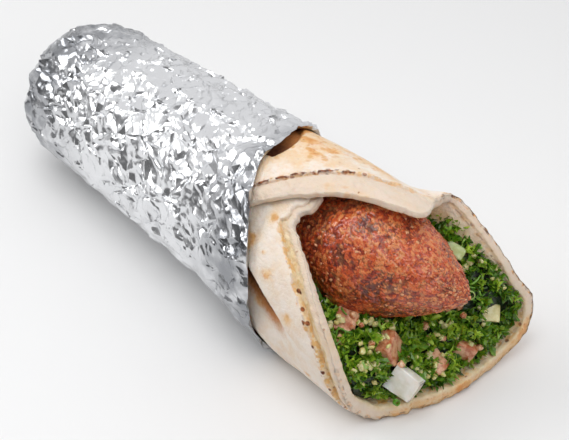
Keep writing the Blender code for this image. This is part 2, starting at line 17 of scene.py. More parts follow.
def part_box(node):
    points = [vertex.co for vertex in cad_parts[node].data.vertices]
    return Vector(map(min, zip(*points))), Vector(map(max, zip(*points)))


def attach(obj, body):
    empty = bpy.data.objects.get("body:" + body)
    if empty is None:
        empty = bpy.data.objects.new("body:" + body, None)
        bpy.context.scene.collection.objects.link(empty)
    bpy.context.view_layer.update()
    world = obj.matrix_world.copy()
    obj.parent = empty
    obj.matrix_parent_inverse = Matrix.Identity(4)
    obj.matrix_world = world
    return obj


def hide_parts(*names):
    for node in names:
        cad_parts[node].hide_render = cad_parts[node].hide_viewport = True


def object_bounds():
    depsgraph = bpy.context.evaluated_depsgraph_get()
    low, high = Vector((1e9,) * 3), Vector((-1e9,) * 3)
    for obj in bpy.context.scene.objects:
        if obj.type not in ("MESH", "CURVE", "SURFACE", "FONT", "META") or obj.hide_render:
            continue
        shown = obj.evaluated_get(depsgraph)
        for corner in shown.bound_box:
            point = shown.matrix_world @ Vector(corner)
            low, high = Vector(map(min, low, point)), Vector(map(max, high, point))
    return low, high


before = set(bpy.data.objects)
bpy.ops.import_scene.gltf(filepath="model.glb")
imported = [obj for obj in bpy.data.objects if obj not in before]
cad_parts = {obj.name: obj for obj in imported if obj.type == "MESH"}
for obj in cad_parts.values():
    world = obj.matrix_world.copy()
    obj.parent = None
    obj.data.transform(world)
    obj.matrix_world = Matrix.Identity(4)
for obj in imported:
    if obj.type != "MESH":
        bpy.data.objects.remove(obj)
cad_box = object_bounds()
print("frame nodes:", sorted(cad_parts))

# %% [markdown]
# ## One set of measures
# Lengths below are in millimetres, measured from where the foil's round end begins: x runs along
# the roll to its open mouth, y to the right, z up from the table. `MM` makes them metres, and
# `MIDDLE` moves them to the frame, whose origin is under the middle of the whole wrap.

# %% Measures
MM = 0.001
MIDDLE = (84.59, 5.83, 0.0)     # middle of the whole wrap, under it on the table
FOIL_CAP = 25.0                 # length of the foil's round end, before x = 0

foil_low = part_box("foil_sleeve")[0]
print("foil starts at x =", round(foil_low.x / MM + MIDDLE[0], 2), "and should at", -FOIL_CAP)


def to_frame(points):
    """Points in millimetres on the roll, as metres in the frame, kept within the frame's box."""
    moved = (np.asarray(points, float) - MIDDLE) * MM
    return np.clip(moved, cad_box[0], cad_box[1])


# %% [markdown]
# ## Camera
# The camera comes first, because every later choice is looked at through it. It stands to the
# left of the mouth and looks down at 40 degrees. A long lens keeps the roll from flaring.

# %% Camera
AZIMUTH = math.radians(48)
ELEVATION = math.radians(40)
DISTANCE = 420.0
LOOK_AT = (111.0, 4.0, 30.0)

back = Vector((math.sin(AZIMUTH) * math.cos(ELEVATION), -math.cos(AZIMUTH) * math.cos(ELEVATION),
               math.sin(ELEVATION)))
target = Vector([(a - b) * MM for a, b in zip(LOOK_AT, MIDDLE)])
camera = bpy.data.objects.new("camera", bpy.data.cameras.new("camera"))
bpy.context.scene.collection.objects.link(camera)
camera.location = target + back * DISTANCE * MM
camera.rotation_euler = back.to_track_quat("Z", "Y").to_euler()
camera.data.lens = 73.2
camera.data.clip_start = 0.01
bpy.context.scene.camera = camera
print("camera at", [round(part, 3) for part in camera.location])

# %% [markdown]
# ## Shape helpers
# Food has no straight lines, so nearly every surface here is a grid that a formula bends, with
# random bumps on top. `ramp` is a soft step, `hill` a soft peak and `bumps` smooth random noise.
# All randomness has a seed, so each run gives the same wrap.

# %% Soft steps and random bumps
def ramp(value, low, high):
    """Soft step: 0 below low, 1 above high."""
    t = np.clip((np.asarray(value, float) - low) / (high - low), 0.0, 1.0)
    return t * t * (3.0 - 2.0 * t)


def hill(value, centre, width):
    """Soft peak: 1 at the centre, falling off over the width."""
    return np.exp(-((np.asarray(value, float) - centre) / width) ** 2)


def bumps(points, size, seed):
    """Smooth random bumps of one size, -1 to 1: random values on a lattice, blended between."""
    rng = np.random.default_rng(seed)
    values = rng.uniform(-1, 1, 4096)
    cell = np.asarray(points, float) / size + rng.uniform(50, 90, 3)
    corner = np.floor(cell).astype(np.int64)
    part = cell - corner
    part = part * part * (3 - 2 * part)
    total = 0.0
    for step in itertools.product((0, 1), repeat=3):
        i, j, k = np.moveaxis(corner + step, -1, 0)
        weight = np.prod(np.where(np.array(step) == 1, part, 1 - part), axis=-1)
        total = total + weight * values[(i * 73 + j * 1931 + k * 8349) % 4096]
    return total


# %% [markdown]
# A mesh starts as a flat grid, and its points are laid on the formula. Where the grid meets
# itself the doubles are merged, and open ends are filled. `marks` are numbers kept at each point,
# such as how toasted the bread is there: a material can read them later by name.

# %% Grids into skins
def loft(rows, marks=None):
    """A closed skin through a grid of points, with named numbers on its points."""
    rows = np.asarray(rows, float)
    bm = bmesh.new()
    bmesh.ops.create_grid(bm, x_segments=rows.shape[1] - 1, y_segments=rows.shape[0] - 1, size=1)
    for vert, point in zip(bm.verts, rows.reshape(-1, 3)):
        vert.co = point
    for name, values in (marks or {}).items():
        layer = bm.verts.layers.float.new(name)
        for vert, value in zip(bm.verts, np.ravel(values)):
            vert[layer] = value
    bmesh.ops.remove_doubles(bm, verts=bm.verts, dist=0.01)
    ends = [edge for edge in bm.edges if edge.is_boundary]
    if ends:
        bmesh.ops.holes_fill(bm, edges=ends, sides=0)
    return bm


def round_again(rows):
    """Repeat the first column after the last one, so that the skin closes."""
    return np.concatenate([rows, rows[:, :1]], axis=1)


def finish_piece(bm, name, stands_for, smooth=True):
    """Turn a bmesh in millimetres into a piece of the wrap."""
    bmesh.ops.recalc_face_normals(bm, faces=bm.faces)
    if bm.calc_volume(signed=True) < 0:
        bmesh.ops.reverse_faces(bm, faces=bm.faces)
    mesh = bpy.data.meshes.new(name)
    bm.to_mesh(mesh)
    bm.free()
    return place_piece(mesh, name, stands_for, smooth)


def place_piece(mesh, name, stands_for, smooth=True):
    """Move a mesh from millimetres to its place in the frame, and hide the solid that it stands for."""
    points = np.empty(len(mesh.vertices) * 3)
    mesh.vertices.foreach_get("co", points)
    mesh.vertices.foreach_set("co", to_frame(points.reshape(-1, 3)).ravel())
    if smooth:
        mesh.shade_smooth()
    piece = bpy.data.objects.new(name, mesh)
    bpy.context.scene.collection.objects.link(piece)
    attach(piece, "root")
    if stands_for:
        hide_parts(stands_for)
    triangles = sum(len(face.vertices) - 2 for face in mesh.polygons)
    print(name, "has", triangles, "triangles")
    return piece


# %% [markdown]
# ## The roll as a formula
# The bread is one sheet. It starts under the top flap, goes down the left side, under the food,
# up the right side and over the top, where it laps over its own start. A place on it is a turn
# angle (90 at the top, 180 left, 270 below, 360 right, 450 the top again) and an x along the roll.
# The table gives the mouth at a few turns round the roll, and a smooth curve joins
# its rows.

# %% The mouth's table
AXIS_NEAR_END = 30.4
AXIS_MOUTH = 34.5
AXIS_RISE = 131.0
CAP_SINK = 4.0
BREAD_INSET = 1.7
BREAD_SPRING = 1.2
SWELL = (85.0, 130.0)
MOUTH_RADIUS = 34.0
LAP_DROP = 4.0
FOLD_DEPTH, FOLD_TURN, FOLD_X, FOLD_REACH = 4.4, 165.0, 136.0, 28.0
FOLD_SLANT, FOLD_LEDGE, FOLD_WIDTH = 0.95, 2.6, 50.0
HOLLOW_DEPTH = 1.8
STEP_DEPTH = 1.1
GROOVE_DEPTH = 1.0

# turn, end x, radius at the mouth, flare starts at x, flare full at x, thickness, outer ply set back
MOUTH = (
    (100, 140.0, 33.6, 120, 150, 3.4, 3.5),
    (112, 141.0, 33.6, 120, 150, 3.4, 3.5),
    (119, 139.5, 33.6, 120, 150, 2.9, 3.5),
    (127, 140.5, 33.6, 120, 150, 2.7, 3.5),
    (133, 146.0, 33.6, 120, 150, 2.7, 4.5),
    (143, 155.0, 33.6, 120, 150, 3.0, 5.5),
    (154, 163.0, 33.9, 120, 150, 3.4, 6.0),
    (168, 171.5, 34.4, 120, 150, 3.6, 6.5),
    (183, 177.5, 35.0, 120, 150, 3.8, 7.0),
    (200, 180.0, 36.0, 116, 148, 4.4, 6.5),
    (216, 180.0, 37.8, 114, 146, 5.2, 5.0),
    (229, 180.5, 39.4, 112, 145, 5.8, 3.5),
    (238, 182.5, 39.6, 114, 150, 5.9, 2.6),
    (252, 187.5, 37.0, 125, 165, 5.8, 2.4),
    (270, 191.5, 35.2, 125, 185, 5.6, 2.4),
    (288, 194.0, 36.5, 130, 188, 5.4, 2.4),
    (305, 194.0, 41.5, 130, 190, 5.2, 2.2),
    (318, 194.0, 47.5, 130, 192, 5.0, 2.0),
    (331, 194.0, 52.0, 135, 192, 4.6, 1.6),
    (344, 191.5, 50.4, 135, 190, 4.0, 1.2),
    (352, 187.0, 45.0, 135, 185, 3.4, 1.0),
    (361, 184.0, 42.0, 138, 183, 3.0, 1.0),
    (371, 177.0, 41.2, 140, 176, 2.8, 1.0),
    (380, 169.0, 41.5, 142, 169, 2.8, 1.0),
    (389, 162.5, 41.0, 144, 163, 2.8, 1.0),
    (396, 162.0, 38.2, 144, 162, 3.0, 1.2),
    (403, 163.5, 35.6, 144, 164, 3.2, 1.6),
    (412, 166.0, 34.5, 140, 165, 3.2, 2.4),
    (424, 169.5, 34.0, 140, 165, 3.2, 5.0),
    (434, 169.5, 34.0, 140, 165, 3.2, 7.0),
    (440, 163.5, 34.0, 140, 165, 3.2, 7.5),
    (446, 156.0, 34.0, 140, 165, 3.2, 7.5),
    (456, 146.5, 34.0, 140, 165, 3.2, 7.5),
    (469, 138.0, 34.0, 140, 165, 3.2, 7.5),
    (480, 130.5, 34.0, 140, 165, 3.2, 7.5),
    (491, 123.5, 34.0, 140, 165, 3.2, 7.5),
    (503, 115.0, 34.0, 140, 165, 3.2, 7.5),
    (512, 108.0, 34.0, 140, 165, 3.2, 7.5),
)
# the outer ply's edge on the top flap: it starts at a turn and x, comes back so many millimetres
# for each degree, and bows forward once on its way
FLAP_PLY_TURN, FLAP_PLY_X, FLAP_PLY_BACK = 403.0, 162.0, 0.58
BOW, BOW_TURN, BOW_WIDTH = 3.0, 474.0, 22.0
# the hollow beside the foil on the top flap: its furthest x, the turn of that, how round its front
# is, the turns it lies between, and the x behind which all the bread sinks in under the foil
HOLLOW_X, HOLLOW_TURN, HOLLOW_ROUND = 117.0, 452.0, 0.009
HOLLOW_TURNS = (403.0, 464.0)
HOLLOW_EASE = (1.0, 4.0)        # degrees to each side over which it begins and stops
SUNK_BEHIND = 60.0
SHEET_START = MOUTH[0][0]
SHEET_END = MOUTH[-1][0]
FIRST_TURN_FROM = SHEET_END - 360.0


def smooth_table(table, steps=8):
    """The table's rows joined by a Catmull-Rom curve."""
    rows = np.array(table, float)
    padded = np.vstack([rows[:1], rows, rows[-1:]])
    t = np.linspace(0.0, 1.0, steps, endpoint=False)[:, None]
    spans = []
    for a, b, c, d in zip(padded, padded[1:], padded[2:], padded[3:]):
        spans.append(0.5 * (2 * b + (c - a) * t + (2 * a - 5 * b + 4 * c - d) * t**2
                            + (3 * b - a - 3 * c + d) * t**3))
    return np.vstack(spans + [rows[-1:]])


MOUTH_CURVE = smooth_table(MOUTH)
END, RADIUS, FLARE_FROM, FLARE_FULL, THICKNESS, SET_BACK = range(1, 7)


def mouth(turn, column):
    """One column of the mouth's table at a turn angle."""
    return np.interp(turn, MOUTH_CURVE[:, 0], MOUTH_CURVE[:, column])


# %% The rolled sheet
def closing(x):
    """How far along the closed end a place is, 0 to 1 at the tip."""
    return np.clip(-np.asarray(x, float) / FOIL_CAP, 0, 1)


def axis_height(x):
    """Height of the middle of the roll."""
    rise = (AXIS_MOUTH - AXIS_NEAR_END) * np.clip(np.asarray(x, float) / AXIS_RISE, 0, 1)
    return AXIS_NEAR_END + rise - CAP_SINK * closing(x) ** 2


def girth(x):
    """The closed end rounds in to a point."""
    return np.sqrt(1 - closing(x) ** 2.4)


def table_height(x):
    """Underside of the bread: on the foil, then on the table in front of it."""
    return 1.6 - 1.3 * ramp(x, 142, 152)


def roll_radius(turn, x):
    """Radius of the roll's outline with no lap and no pleat."""
    swell = BREAD_SPRING * ramp(x, *SWELL)
    flare = ramp(x, mouth(turn, FLARE_FROM), mouth(turn, FLARE_FULL))
    plain = axis_height(np.maximum(x, 0)) - BREAD_INSET + swell
    return (plain + (mouth(turn, RADIUS) - MOUTH_RADIUS) * flare) * girth(x)


def lap(turn, x):
    """How far the sheet's start dips to pass under the flap."""
    lap_end = FIRST_TURN_FROM - 37 * ramp(x, 110, 142)
    return LAP_DROP * (1 - ramp((turn - lap_end) / 45, 0, 1))


def pleat(turn, x):
    """The fold in the left side: a ledge at its upper edge that fades towards the mouth."""
    edge = FOLD_TURN + FOLD_SLANT * (x - FOLD_X)
    ledge = ramp((turn - edge) / FOLD_LEDGE, 0, 1) * (1 - ramp((turn - edge) / FOLD_WIDTH, 0.2, 1))
    return FOLD_DEPTH * ledge * (1 - ramp((x - FOLD_X) / FOLD_REACH, 0, 1)) * ramp(x, 95, 115)


RIGHT_LEAN = 4.0                # how much thicker the right side gets, away from the rim
LEAN_LENGTH = 14                # the x that this takes


def inner_slope(turn, x):
    """The right side thickens inwards, so that its inner face leans out towards the rim."""
    right = ramp(turn, 332, 348) * (1 - ramp(turn, 390, 400))
    return RIGHT_LEAN * right * np.clip((mouth(turn, END) - x) / LEAN_LENGTH, 0, 1)


def in_hollow(turn, x):
    """1 in the hollow where the top flap sinks away under the foil."""
    low, high = HOLLOW_TURNS
    begins, stops = HOLLOW_EASE
    there = ramp(turn, low - begins, low + begins) * (1 - ramp(turn, high - stops, high + stops))
    front = HOLLOW_X - SUNK_BEHIND - HOLLOW_ROUND * (turn - HOLLOW_TURN) ** 2
    return ramp(SUNK_BEHIND + front * there - x, 0.0, 1.2)


def outer_face(turn, x):
    """A point of the sheet's outer face."""
    radius = roll_radius(turn, x) - lap(turn, x) - pleat(turn, x) - HOLLOW_DEPTH * in_hollow(turn, x)
    angle = np.radians(turn)
    above = axis_height(x) + radius * np.sin(angle) - table_height(x)
    z = table_height(x) + 0.5 * (above + np.sqrt(above * above + 0.25))
    return np.stack([x + 0 * radius, radius * np.cos(angle), z], axis=-1)


def sheet_point(turn, x, depth):
    """A point at a depth below the outer face, square to it."""
    round_the_roll = outer_face(turn + 1.0, x) - outer_face(turn - 1.0, x)
    along = outer_face(turn, x + 1.0) - outer_face(turn, x - 1.0)
    inward = np.cross(round_the_roll, along)
    inward /= np.linalg.norm(inward, axis=-1)[..., None]
    return outer_face(turn, x) - inward * np.asarray(depth)[..., None]


def rim_slant(turn):
    """Distance along x for each millimetre square to the rim."""
    slope = (mouth(turn + 1, END) - mouth(turn - 1, END)) / (2 * math.radians(1) * MOUTH_RADIUS)
    return np.minimum(np.sqrt(1 + slope * slope), 2.4)


print("the sheet turns through", SHEET_END - SHEET_START, "degrees")

# %% The foil's torn edge
FOIL_EDGE = (
    (0, 112), (30, 106), (64, 108), (88, 114), (100, 115), (108, 116), (122, 121), (135, 126),
    (148, 131), (162, 135), (176, 137), (196, 137), (216, 136), (236, 139), (258, 141), (280, 137),
    (300, 130), (325, 121), (345, 115), (360, 112),
)
FOIL_CURVE = smooth_table(FOIL_EDGE)


def foil_edge(angle):
    """The x of the torn edge at an angle round the roll."""
    return np.interp(angle, FOIL_CURVE[:, 0], FOIL_CURVE[:, 1])


print("foil covers the top to x =", foil_edge(90))

# %% [markdown]
# ## Bread
# The real bread is a thin two-ply pocket bread. At the mouth both plies show: the outer one ends
# a few millimetres short, and beyond it the inner ply makes a paler band with a rounded, torn rim.
# One closed skin does it all: the grid's columns run round the roll, and its rows go along the
# outer face, down the ply's edge, over the rim and back along the inner face.

# %% Rows of the bread's skin
ROUND_STEPS = 580
HIDDEN = (-14.0, -7.0, 0.0, 50.0, 85.0)     # rows under the foil
SHOWN_FROM = 92.0
OUTER_ROWS = 72                             # closer together towards the ply's edge

run = np.concatenate([[0], np.cumsum(np.hypot(*np.diff(MOUTH_CURVE[:, :2] * (0.6, 1.0), axis=0).T))])
turns = np.interp(np.linspace(0, run[-1], ROUND_STEPS), run, MOUTH_CURVE[:, 0])
along_rim = np.linspace(0, run[-1], ROUND_STEPS)
rim_line = np.stack([along_rim, 0 * along_rim, 0 * along_rim], axis=-1)

ragged = 1 + 1.4 * hill(turns, 130, 12) + 0.6 * hill(turns, 385, 14)
torn = (0.38 * bumps(rim_line, 4.0, 3) + 0.36 * bumps(rim_line, 1.3, 4)) * ragged
pinch = hill(turns, 259, 2.5)
end = mouth(turns, END) + torn - 0.3 - 1.3 * pinch
thick = mouth(turns, THICKNESS) * (1 + 0.07 * bumps(rim_line, 9.0, 5))
slant = rim_slant(turns)
step = mouth(turns, SET_BACK) * slant * (1 + 0.10 * bumps(rim_line, 3.5, 6))
flap_ply = FLAP_PLY_X - FLAP_PLY_BACK * (turns - FLAP_PLY_TURN) + BOW * hill(turns, BOW_TURN, BOW_WIDTH)
step = np.where(turns > FLAP_PLY_TURN, end - flap_ply, step)
ply_edge = end - step + 0.22 * bumps(rim_line, 1.1, 7)
groove = GROOVE_DEPTH * ramp(turns, 120, 140) * (1 - ramp(turns, 205, 228))
ledge = STEP_DEPTH * ramp(mouth(turns, SET_BACK), 1.0, 3.0)

chain = [(x + 0 * end, 0 * end) for x in HIDDEN]
for part in np.linspace(0, 1, OUTER_ROWS):
    close_up = 0.55 * part + 0.45 * (1 - (1 - part) ** 3)
    chain.append((SHOWN_FROM + (ply_edge - 0.7 - SHOWN_FROM) * close_up, 0 * end))
for shift, drop in ((-0.4, 0.04), (-0.15, 0.16), (0.05, 0.38), (0.16, 0.65), (0.25, 0.9), (0.42, 1.0)):
    chain.append((ply_edge + shift * np.minimum(step, 1.0), (ledge + groove) * drop))
for part in np.linspace(0.15, 0.92, 16):
    band = ledge * (1 - 0.45 * math.sin(math.pi * part) ** 0.7)
    deep = groove * (1 - ramp(part, 0.34, 0.62))
    chain.append((ply_edge + step * part, band + deep))
shoulder = ledge * 0.75
for corner in np.linspace(0, math.pi, 14):
    depth = shoulder + (thick - shoulder) * (1 - math.cos(corner)) / 2
    chain.append((end - 1.0 * (1 - math.sin(corner) ** 0.6), depth))
back_from = end - 1.0
for part in np.concatenate([np.linspace(0.985, 0.5, 36), (0.35, 0.15)]):
    inner_x = SHOWN_FROM + (back_from - SHOWN_FROM) * part
    chain.append((inner_x, thick + inner_slope(turns, inner_x)))
chain += [(x + 0 * end, thick + inner_slope(turns, x)) for x in HIDDEN[::-1]]
print("bread grid:", len(chain), "rows of", ROUND_STEPS)

# %% [markdown]
# Then the surface gets its life: low blisters and wrinkles from baking, and a crumbly relief on
# the torn band. The finish needs to know where a point is on the sheet, so a few numbers stay at
# the points: `ply` and `rim`, how far it is from the outer ply's edge and from the rim in
# millimetres; `line`, how dark the oven drew that edge there, and `spots`, how often it left a
# brown spot; `burnt_rim`, the same for the rim; `toast`, how browned the face is, with
# painted shade added where the foil's lifted edge covers the top of the bread; `crease`, painted
# shade under the pleat and in the hollow beside the foil, and a darker spot at the rim's pinch;
# and `moist`, the inner ply and inner face, which stayed damp.

# %% The bread's skin and its marks
rows_x = np.stack([x for x, _ in chain], axis=1)
rows_depth = np.stack([depth for _, depth in chain], axis=1)
grid_turn = np.repeat(turns[:, None], len(chain), axis=1)
skin = sheet_point(grid_turn, rows_x, rows_depth)
number = np.arange(len(chain))[None, :] + 0 * grid_turn
last_outer = len(HIDDEN) + OUTER_ROWS
on_outer = 1 - ramp(number, last_outer - 1, last_outer + 2)
on_inner = ramp(number, len(chain) - 50, len(chain) - 44)
SHOWN_OVER = 12.0               # the x over which the fine relief comes in at the foil
shown = ramp(rows_x, SHOWN_FROM, SHOWN_FROM + SHOWN_OVER)
under_flap = 1 - 0.7 * ((grid_turn < FIRST_TURN_FROM) | (grid_turn > SHEET_END - 60)) * on_inner

blister = 0.30 * bumps(skin, 17.0, 11) + 0.20 * bumps(skin, 6.0, 12) + 0.10 * bumps(skin, 2.6, 13)
crumb = 0.24 * bumps(skin, 1.9, 14) + 0.16 * bumps(skin, 1.0, 15)
relief = blister * under_flap + crumb * (1 - on_outer) * (1 - on_inner)
skin = sheet_point(grid_turn, rows_x, rows_depth - relief * shown)

across = np.stack([np.repeat(along_rim[:, None], len(chain), axis=1), rows_x, 0 * rows_x], axis=-1)
from_ply = rows_x - np.repeat(ply_edge[:, None], len(chain), axis=1)
from_rim = np.repeat(end[:, None], len(chain), axis=1) - rows_x
top_flap = ramp(grid_turn, 395, 420)
left_side = ramp(grid_turn, 120, 140) * (1 - ramp(grid_turn, 240, 262))
lip = ramp(grid_turn, 236, 256) * (1 - ramp(grid_turn, 325, 345))
right_side = ramp(grid_turn, 325, 345) * (1 - ramp(grid_turn, 390, 405))
patches = ramp(bumps(across, 13.0, 24) + 0.6 * bumps(across, 5.0, 25), 0.15, 0.9)
ridge = top_flap * (0.45 + 0.65 * ramp(-from_ply, 4, 22)) * (0.5 + 0.5 * patches)
toast = on_outer * (0.62 * patches * left_side + 0.75 * ridge + 0.8 * lip * ramp(-from_ply, 7, 1))
toast += 0.30 * patches * (1 - on_outer) + 0.50 * lip * (1 - on_outer) * (1 - on_inner)
# turn, x and width of the scorched spots on the left side
SCORCHES = ((130, 132, 2.4), (150, 137, 1.2), (160, 142, 2.6), (175, 155, 2.2), (210, 162, 2.0))
for turn, x, width in SCORCHES:
    toast += 0.55 * np.exp(-(((grid_turn - turn) * 0.6) ** 2 + (rows_x - x) ** 2) / width**2) * on_outer
line = top_flap * (0.2 + 0.8 * ramp(grid_turn, 432, 440)) + 0.25 * left_side + 0.3 * lip + 0.5 * right_side
spots = 0.7 * top_flap + 1.0 * left_side + 0.9 * lip + 0.5 * right_side
moist = np.clip(on_inner * (0.75 - right_side * (0.4 - 0.6 * ramp(from_rim, 4, 11)))
                + groove[:, None] * (1 - on_outer)
                * hill(from_ply, 0.2 * step[:, None], 0.34 * step[:, None])
                + 0.45 * lip * (1 - on_outer) * (1 - on_inner), 0, 1)
burnt_rim = right_side + 0.6 * lip * ramp(from_rim, -2, 1) + 0.5 * left_side * ramp(grid_turn, 170, 200)
# The crease mark is painted shade: brown under the pleat's ledge and in the hollow beside the foil, and a
# little at the rim's pinch.
past_fold = grid_turn - (FOLD_TURN + FOLD_SLANT * (rows_x - FOLD_X))
crease = 1.2 * ramp(past_fold, -0.5, 1.5) * (1 - ramp(past_fold, 3, 30)) * (1 - ramp(rows_x, 140, 157))
crease += in_hollow(grid_turn, rows_x) * (0.55 + 0.45 * ramp(grid_turn, 430, 456)) + 0.35 * pinch[:, None]
bare = rows_x - foil_edge(grid_turn % 360)
# Painted shade: the top of the bread is browned for a few millimetres past the foil's edge, where the lifted
# foil shades it.
toast += 1.3 * hill(grid_turn % 360, 70, 22) * (1 - ramp(bare, -0.5, 4.0)) * on_outer
RIM_MARK_ROWS = 27              # the rim's mark stops this many rows after the last outer one
RIM_MARK_OFF = 9.0              # what it holds from there on, a distance at which nothing is burnt
marks = {"toast": np.clip(toast, 0, 1.3), "line": line, "spots": spots,
         "moist": moist, "burnt_rim": burnt_rim,
         "crease": crease * on_outer * shown, "ply": np.clip(from_ply, -30, 30),
         "rim": np.where(number > last_outer + RIM_MARK_ROWS, RIM_MARK_OFF, from_rim)}
closed_marks = {name: round_again(values) for name, values in marks.items()}
bread = finish_piece(loft(round_again(skin), closed_marks), "flatbread_rolled", "flatbread")

# %% [markdown]
# ## Foil
# Crumpled foil is a field of flat little facets between sharp creases, at every scale at once.
# So the sleeve starts as a coarse skin of triangles, and three times over each edge is split and
# its new middle point is pushed a little in or out. Each time the push is smaller, in step with
# the triangles. Only gentle bends are shaded softly: every sharper crease stays a crisp line.

# %% The foil's outline
GAP = 0.4
FOIL_WALL = 1.1
FOIL_FLOOR = 1.1
EDGE_LIFT = 1.0
CREASE = 1.5


def foil_lift(angle, x):
    """How far the foil stands off the bread near its torn edge: a little all round, more on top."""
    top = ramp(np.cos(np.radians(angle - 78)), 0.5, 1.0)
    flick = 2.4 * hill(angle, 68, 15) * ramp(x, 108, 122)
    return EDGE_LIFT * ramp(x, 100, 122) * (0.5 + top) + flick


def foil_point(angle, x, out):
    """A point outside the roll by a distance."""
    turn = np.where(angle < FIRST_TURN_FROM, angle + 360, angle)
    radius = roll_radius(turn, x) + out * girth(x)
    round_angle = np.radians(angle)
    z = axis_height(x) + radius * np.sin(round_angle)
    return np.stack([x + 0 * radius, radius * np.cos(round_angle), z], axis=-1)


# %% Coarse sleeve
FOIL_ROUND = 44
FOIL_ROWS = 26
rng = np.random.default_rng(17)
round_angles = np.linspace(0, 360, FOIL_ROUND, endpoint=False)
parts = np.concatenate([[-1.0, -0.96, -0.82, -0.6, -0.34, -0.1], np.linspace(0.04, 1, FOIL_ROWS)])
sleeve = []
outside = []
for number, part in enumerate(parts):
    inner_row = 0 < number < len(parts) - 1
    angle = round_angles + (number % 2) * 180 / FOIL_ROUND
    angle = (angle + inner_row * rng.uniform(-3.4, 3.4, FOIL_ROUND)) % 360
    tear = foil_edge(angle)
    x = part * FOIL_CAP if part < 0 else part * tear
    x = x + inner_row * rng.uniform(-1.9, 1.9, FOIL_ROUND) * (0.3 if part < 0 else 1.0)
    if part == 1:
        x = x + rng.uniform(-0.9, 0.3, FOIL_ROUND)
    crease = rng.uniform(-0.35, 0.65, FOIL_ROUND) * CREASE * (part > -1) * (1 + 0.5 * ramp(part, 0.75, 0.95))
    wall = GAP + FOIL_WALL * (0.35 if part == 1 else 1.0)
    skin = foil_point(angle, np.maximum(x, -FOIL_CAP), wall + foil_lift(angle, x) + crease)
    skin[:, 2] = np.maximum(skin[:, 2], 0.0)
    sleeve.append(skin)
    outside.append(np.ones(FOIL_ROUND))
tear = foil_edge(round_angles)
shown_rows = [85 + (tear - 0.5 - 85) * part for part in (1, 0.9, 0.8, 0.6, 0.3)]
for x in shown_rows + [x + 0 * tear for x in (85.0, 50.0, 0.0, -7.0, -14.0, -18.0, -20.0)]:
    skin = foil_point(round_angles, x, GAP + foil_lift(round_angles, x))
    skin[:, 2] = np.maximum(skin[:, 2], FOIL_FLOOR)
    sleeve.append(skin)
    outside.append(np.zeros(FOIL_ROUND))
sleeve[-1][:, 1:] = (0.0, axis_height(-20.0))
foil_bm = loft(round_again(np.array(sleeve)), {"outside": round_again(np.array(outside))})
bmesh.ops.triangulate(foil_bm, faces=foil_bm.faces, quad_method="SHORT_EDGE")
print("coarse foil:", len(foil_bm.faces), "triangles")

# %% Crumpling
outside_mark = foil_bm.verts.layers.float["outside"]
draw = random.Random(5)
for push, slide in ((0.85, 0.9), (0.22, 0.4), (0.05, 0.15)):
    foil_bm.normal_update()
    split = [edge for edge in foil_bm.edges if min(vert[outside_mark] for vert in edge.verts) > 0.99]
    old = set(foil_bm.verts)
    bmesh.ops.subdivide_edges(foil_bm, edges=split, cuts=1, use_grid_fill=True)
    bmesh.ops.triangulate(foil_bm, faces=[face for face in foil_bm.faces if len(face.verts) > 3])
    foil_bm.normal_update()
    for vert in foil_bm.verts:
        if vert in old or vert[outside_mark] < 0.99:
            continue
        calm = 0.34 + 0.66 * ramp(vert.co.z, 12, 32)
        vert.co += vert.normal * draw.uniform(-push, push) * float(calm)
        vert.co.x += draw.uniform(-slide, slide) * 0.5
        vert.co.z = max(vert.co.z, 0.0)
foil = finish_piece(foil_bm, "foil_crumpled", "foil_sleeve")
foil.data.set_sharp_from_angle(angle=math.radians(22))

# %% [markdown]
# ## Kibbeh
# The shell of a kibbeh is pounded meat and bulgur. Fried, it turns into a dark crust where each
# swollen grain stands out. The piece is a ball drawn out into a torpedo, with its rows and columns
# set so that the points stay evenly spread. Seeds strewn over it are the grains: each point looks
# for its nearest two, rises on the grain, sinks in the gap between them, and takes its tone.

# %% Torpedo
KIBBEH_CENTRE = np.array((152.3, 5.2, 41.0))
KIBBEH_HALF = 39.0
KIBBEH_RADIUS = 22.0
KIBBEH_YAW = math.radians(12.0)
KIBBEH_POINT = 1.35


def torpedo(ball, grow=0.0):
    """Points of a unit ball drawn out into the kibbeh's form."""
    along_it = np.clip(ball[:, 0], -1, 1)
    side = ball[:, 1:] / np.maximum(np.linalg.norm(ball[:, 1:], axis=1), 1e-6)[:, None]
    radius = KIBBEH_RADIUS * (1 - np.abs(along_it) ** KIBBEH_POINT) ** 0.75 + grow
    straight = np.column_stack([along_it * (KIBBEH_HALF + grow), side * radius[:, None]])
    turned = straight.copy()
    turned[:, 0] = straight[:, 0] * math.cos(KIBBEH_YAW) - straight[:, 1] * math.sin(KIBBEH_YAW)
    turned[:, 1] = straight[:, 0] * math.sin(KIBBEH_YAW) + straight[:, 1] * math.cos(KIBBEH_YAW)
    return turned + KIBBEH_CENTRE


def even_ball(count, seed):
    """Points spread over a unit ball."""
    points = np.random.default_rng(seed).normal(size=(count, 3))
    return points / np.linalg.norm(points, axis=1)[:, None]


along_it, around = np.meshgrid(np.linspace(-1, 1, 200), np.linspace(0, 2 * math.pi, 341), indexing="ij")
side = np.sqrt(1 - along_it**2)
ball = np.stack([along_it, side * np.cos(around), side * np.sin(around)], axis=-1).reshape(-1, 3)
plain = torpedo(ball)
print("kibbeh points:", len(plain))

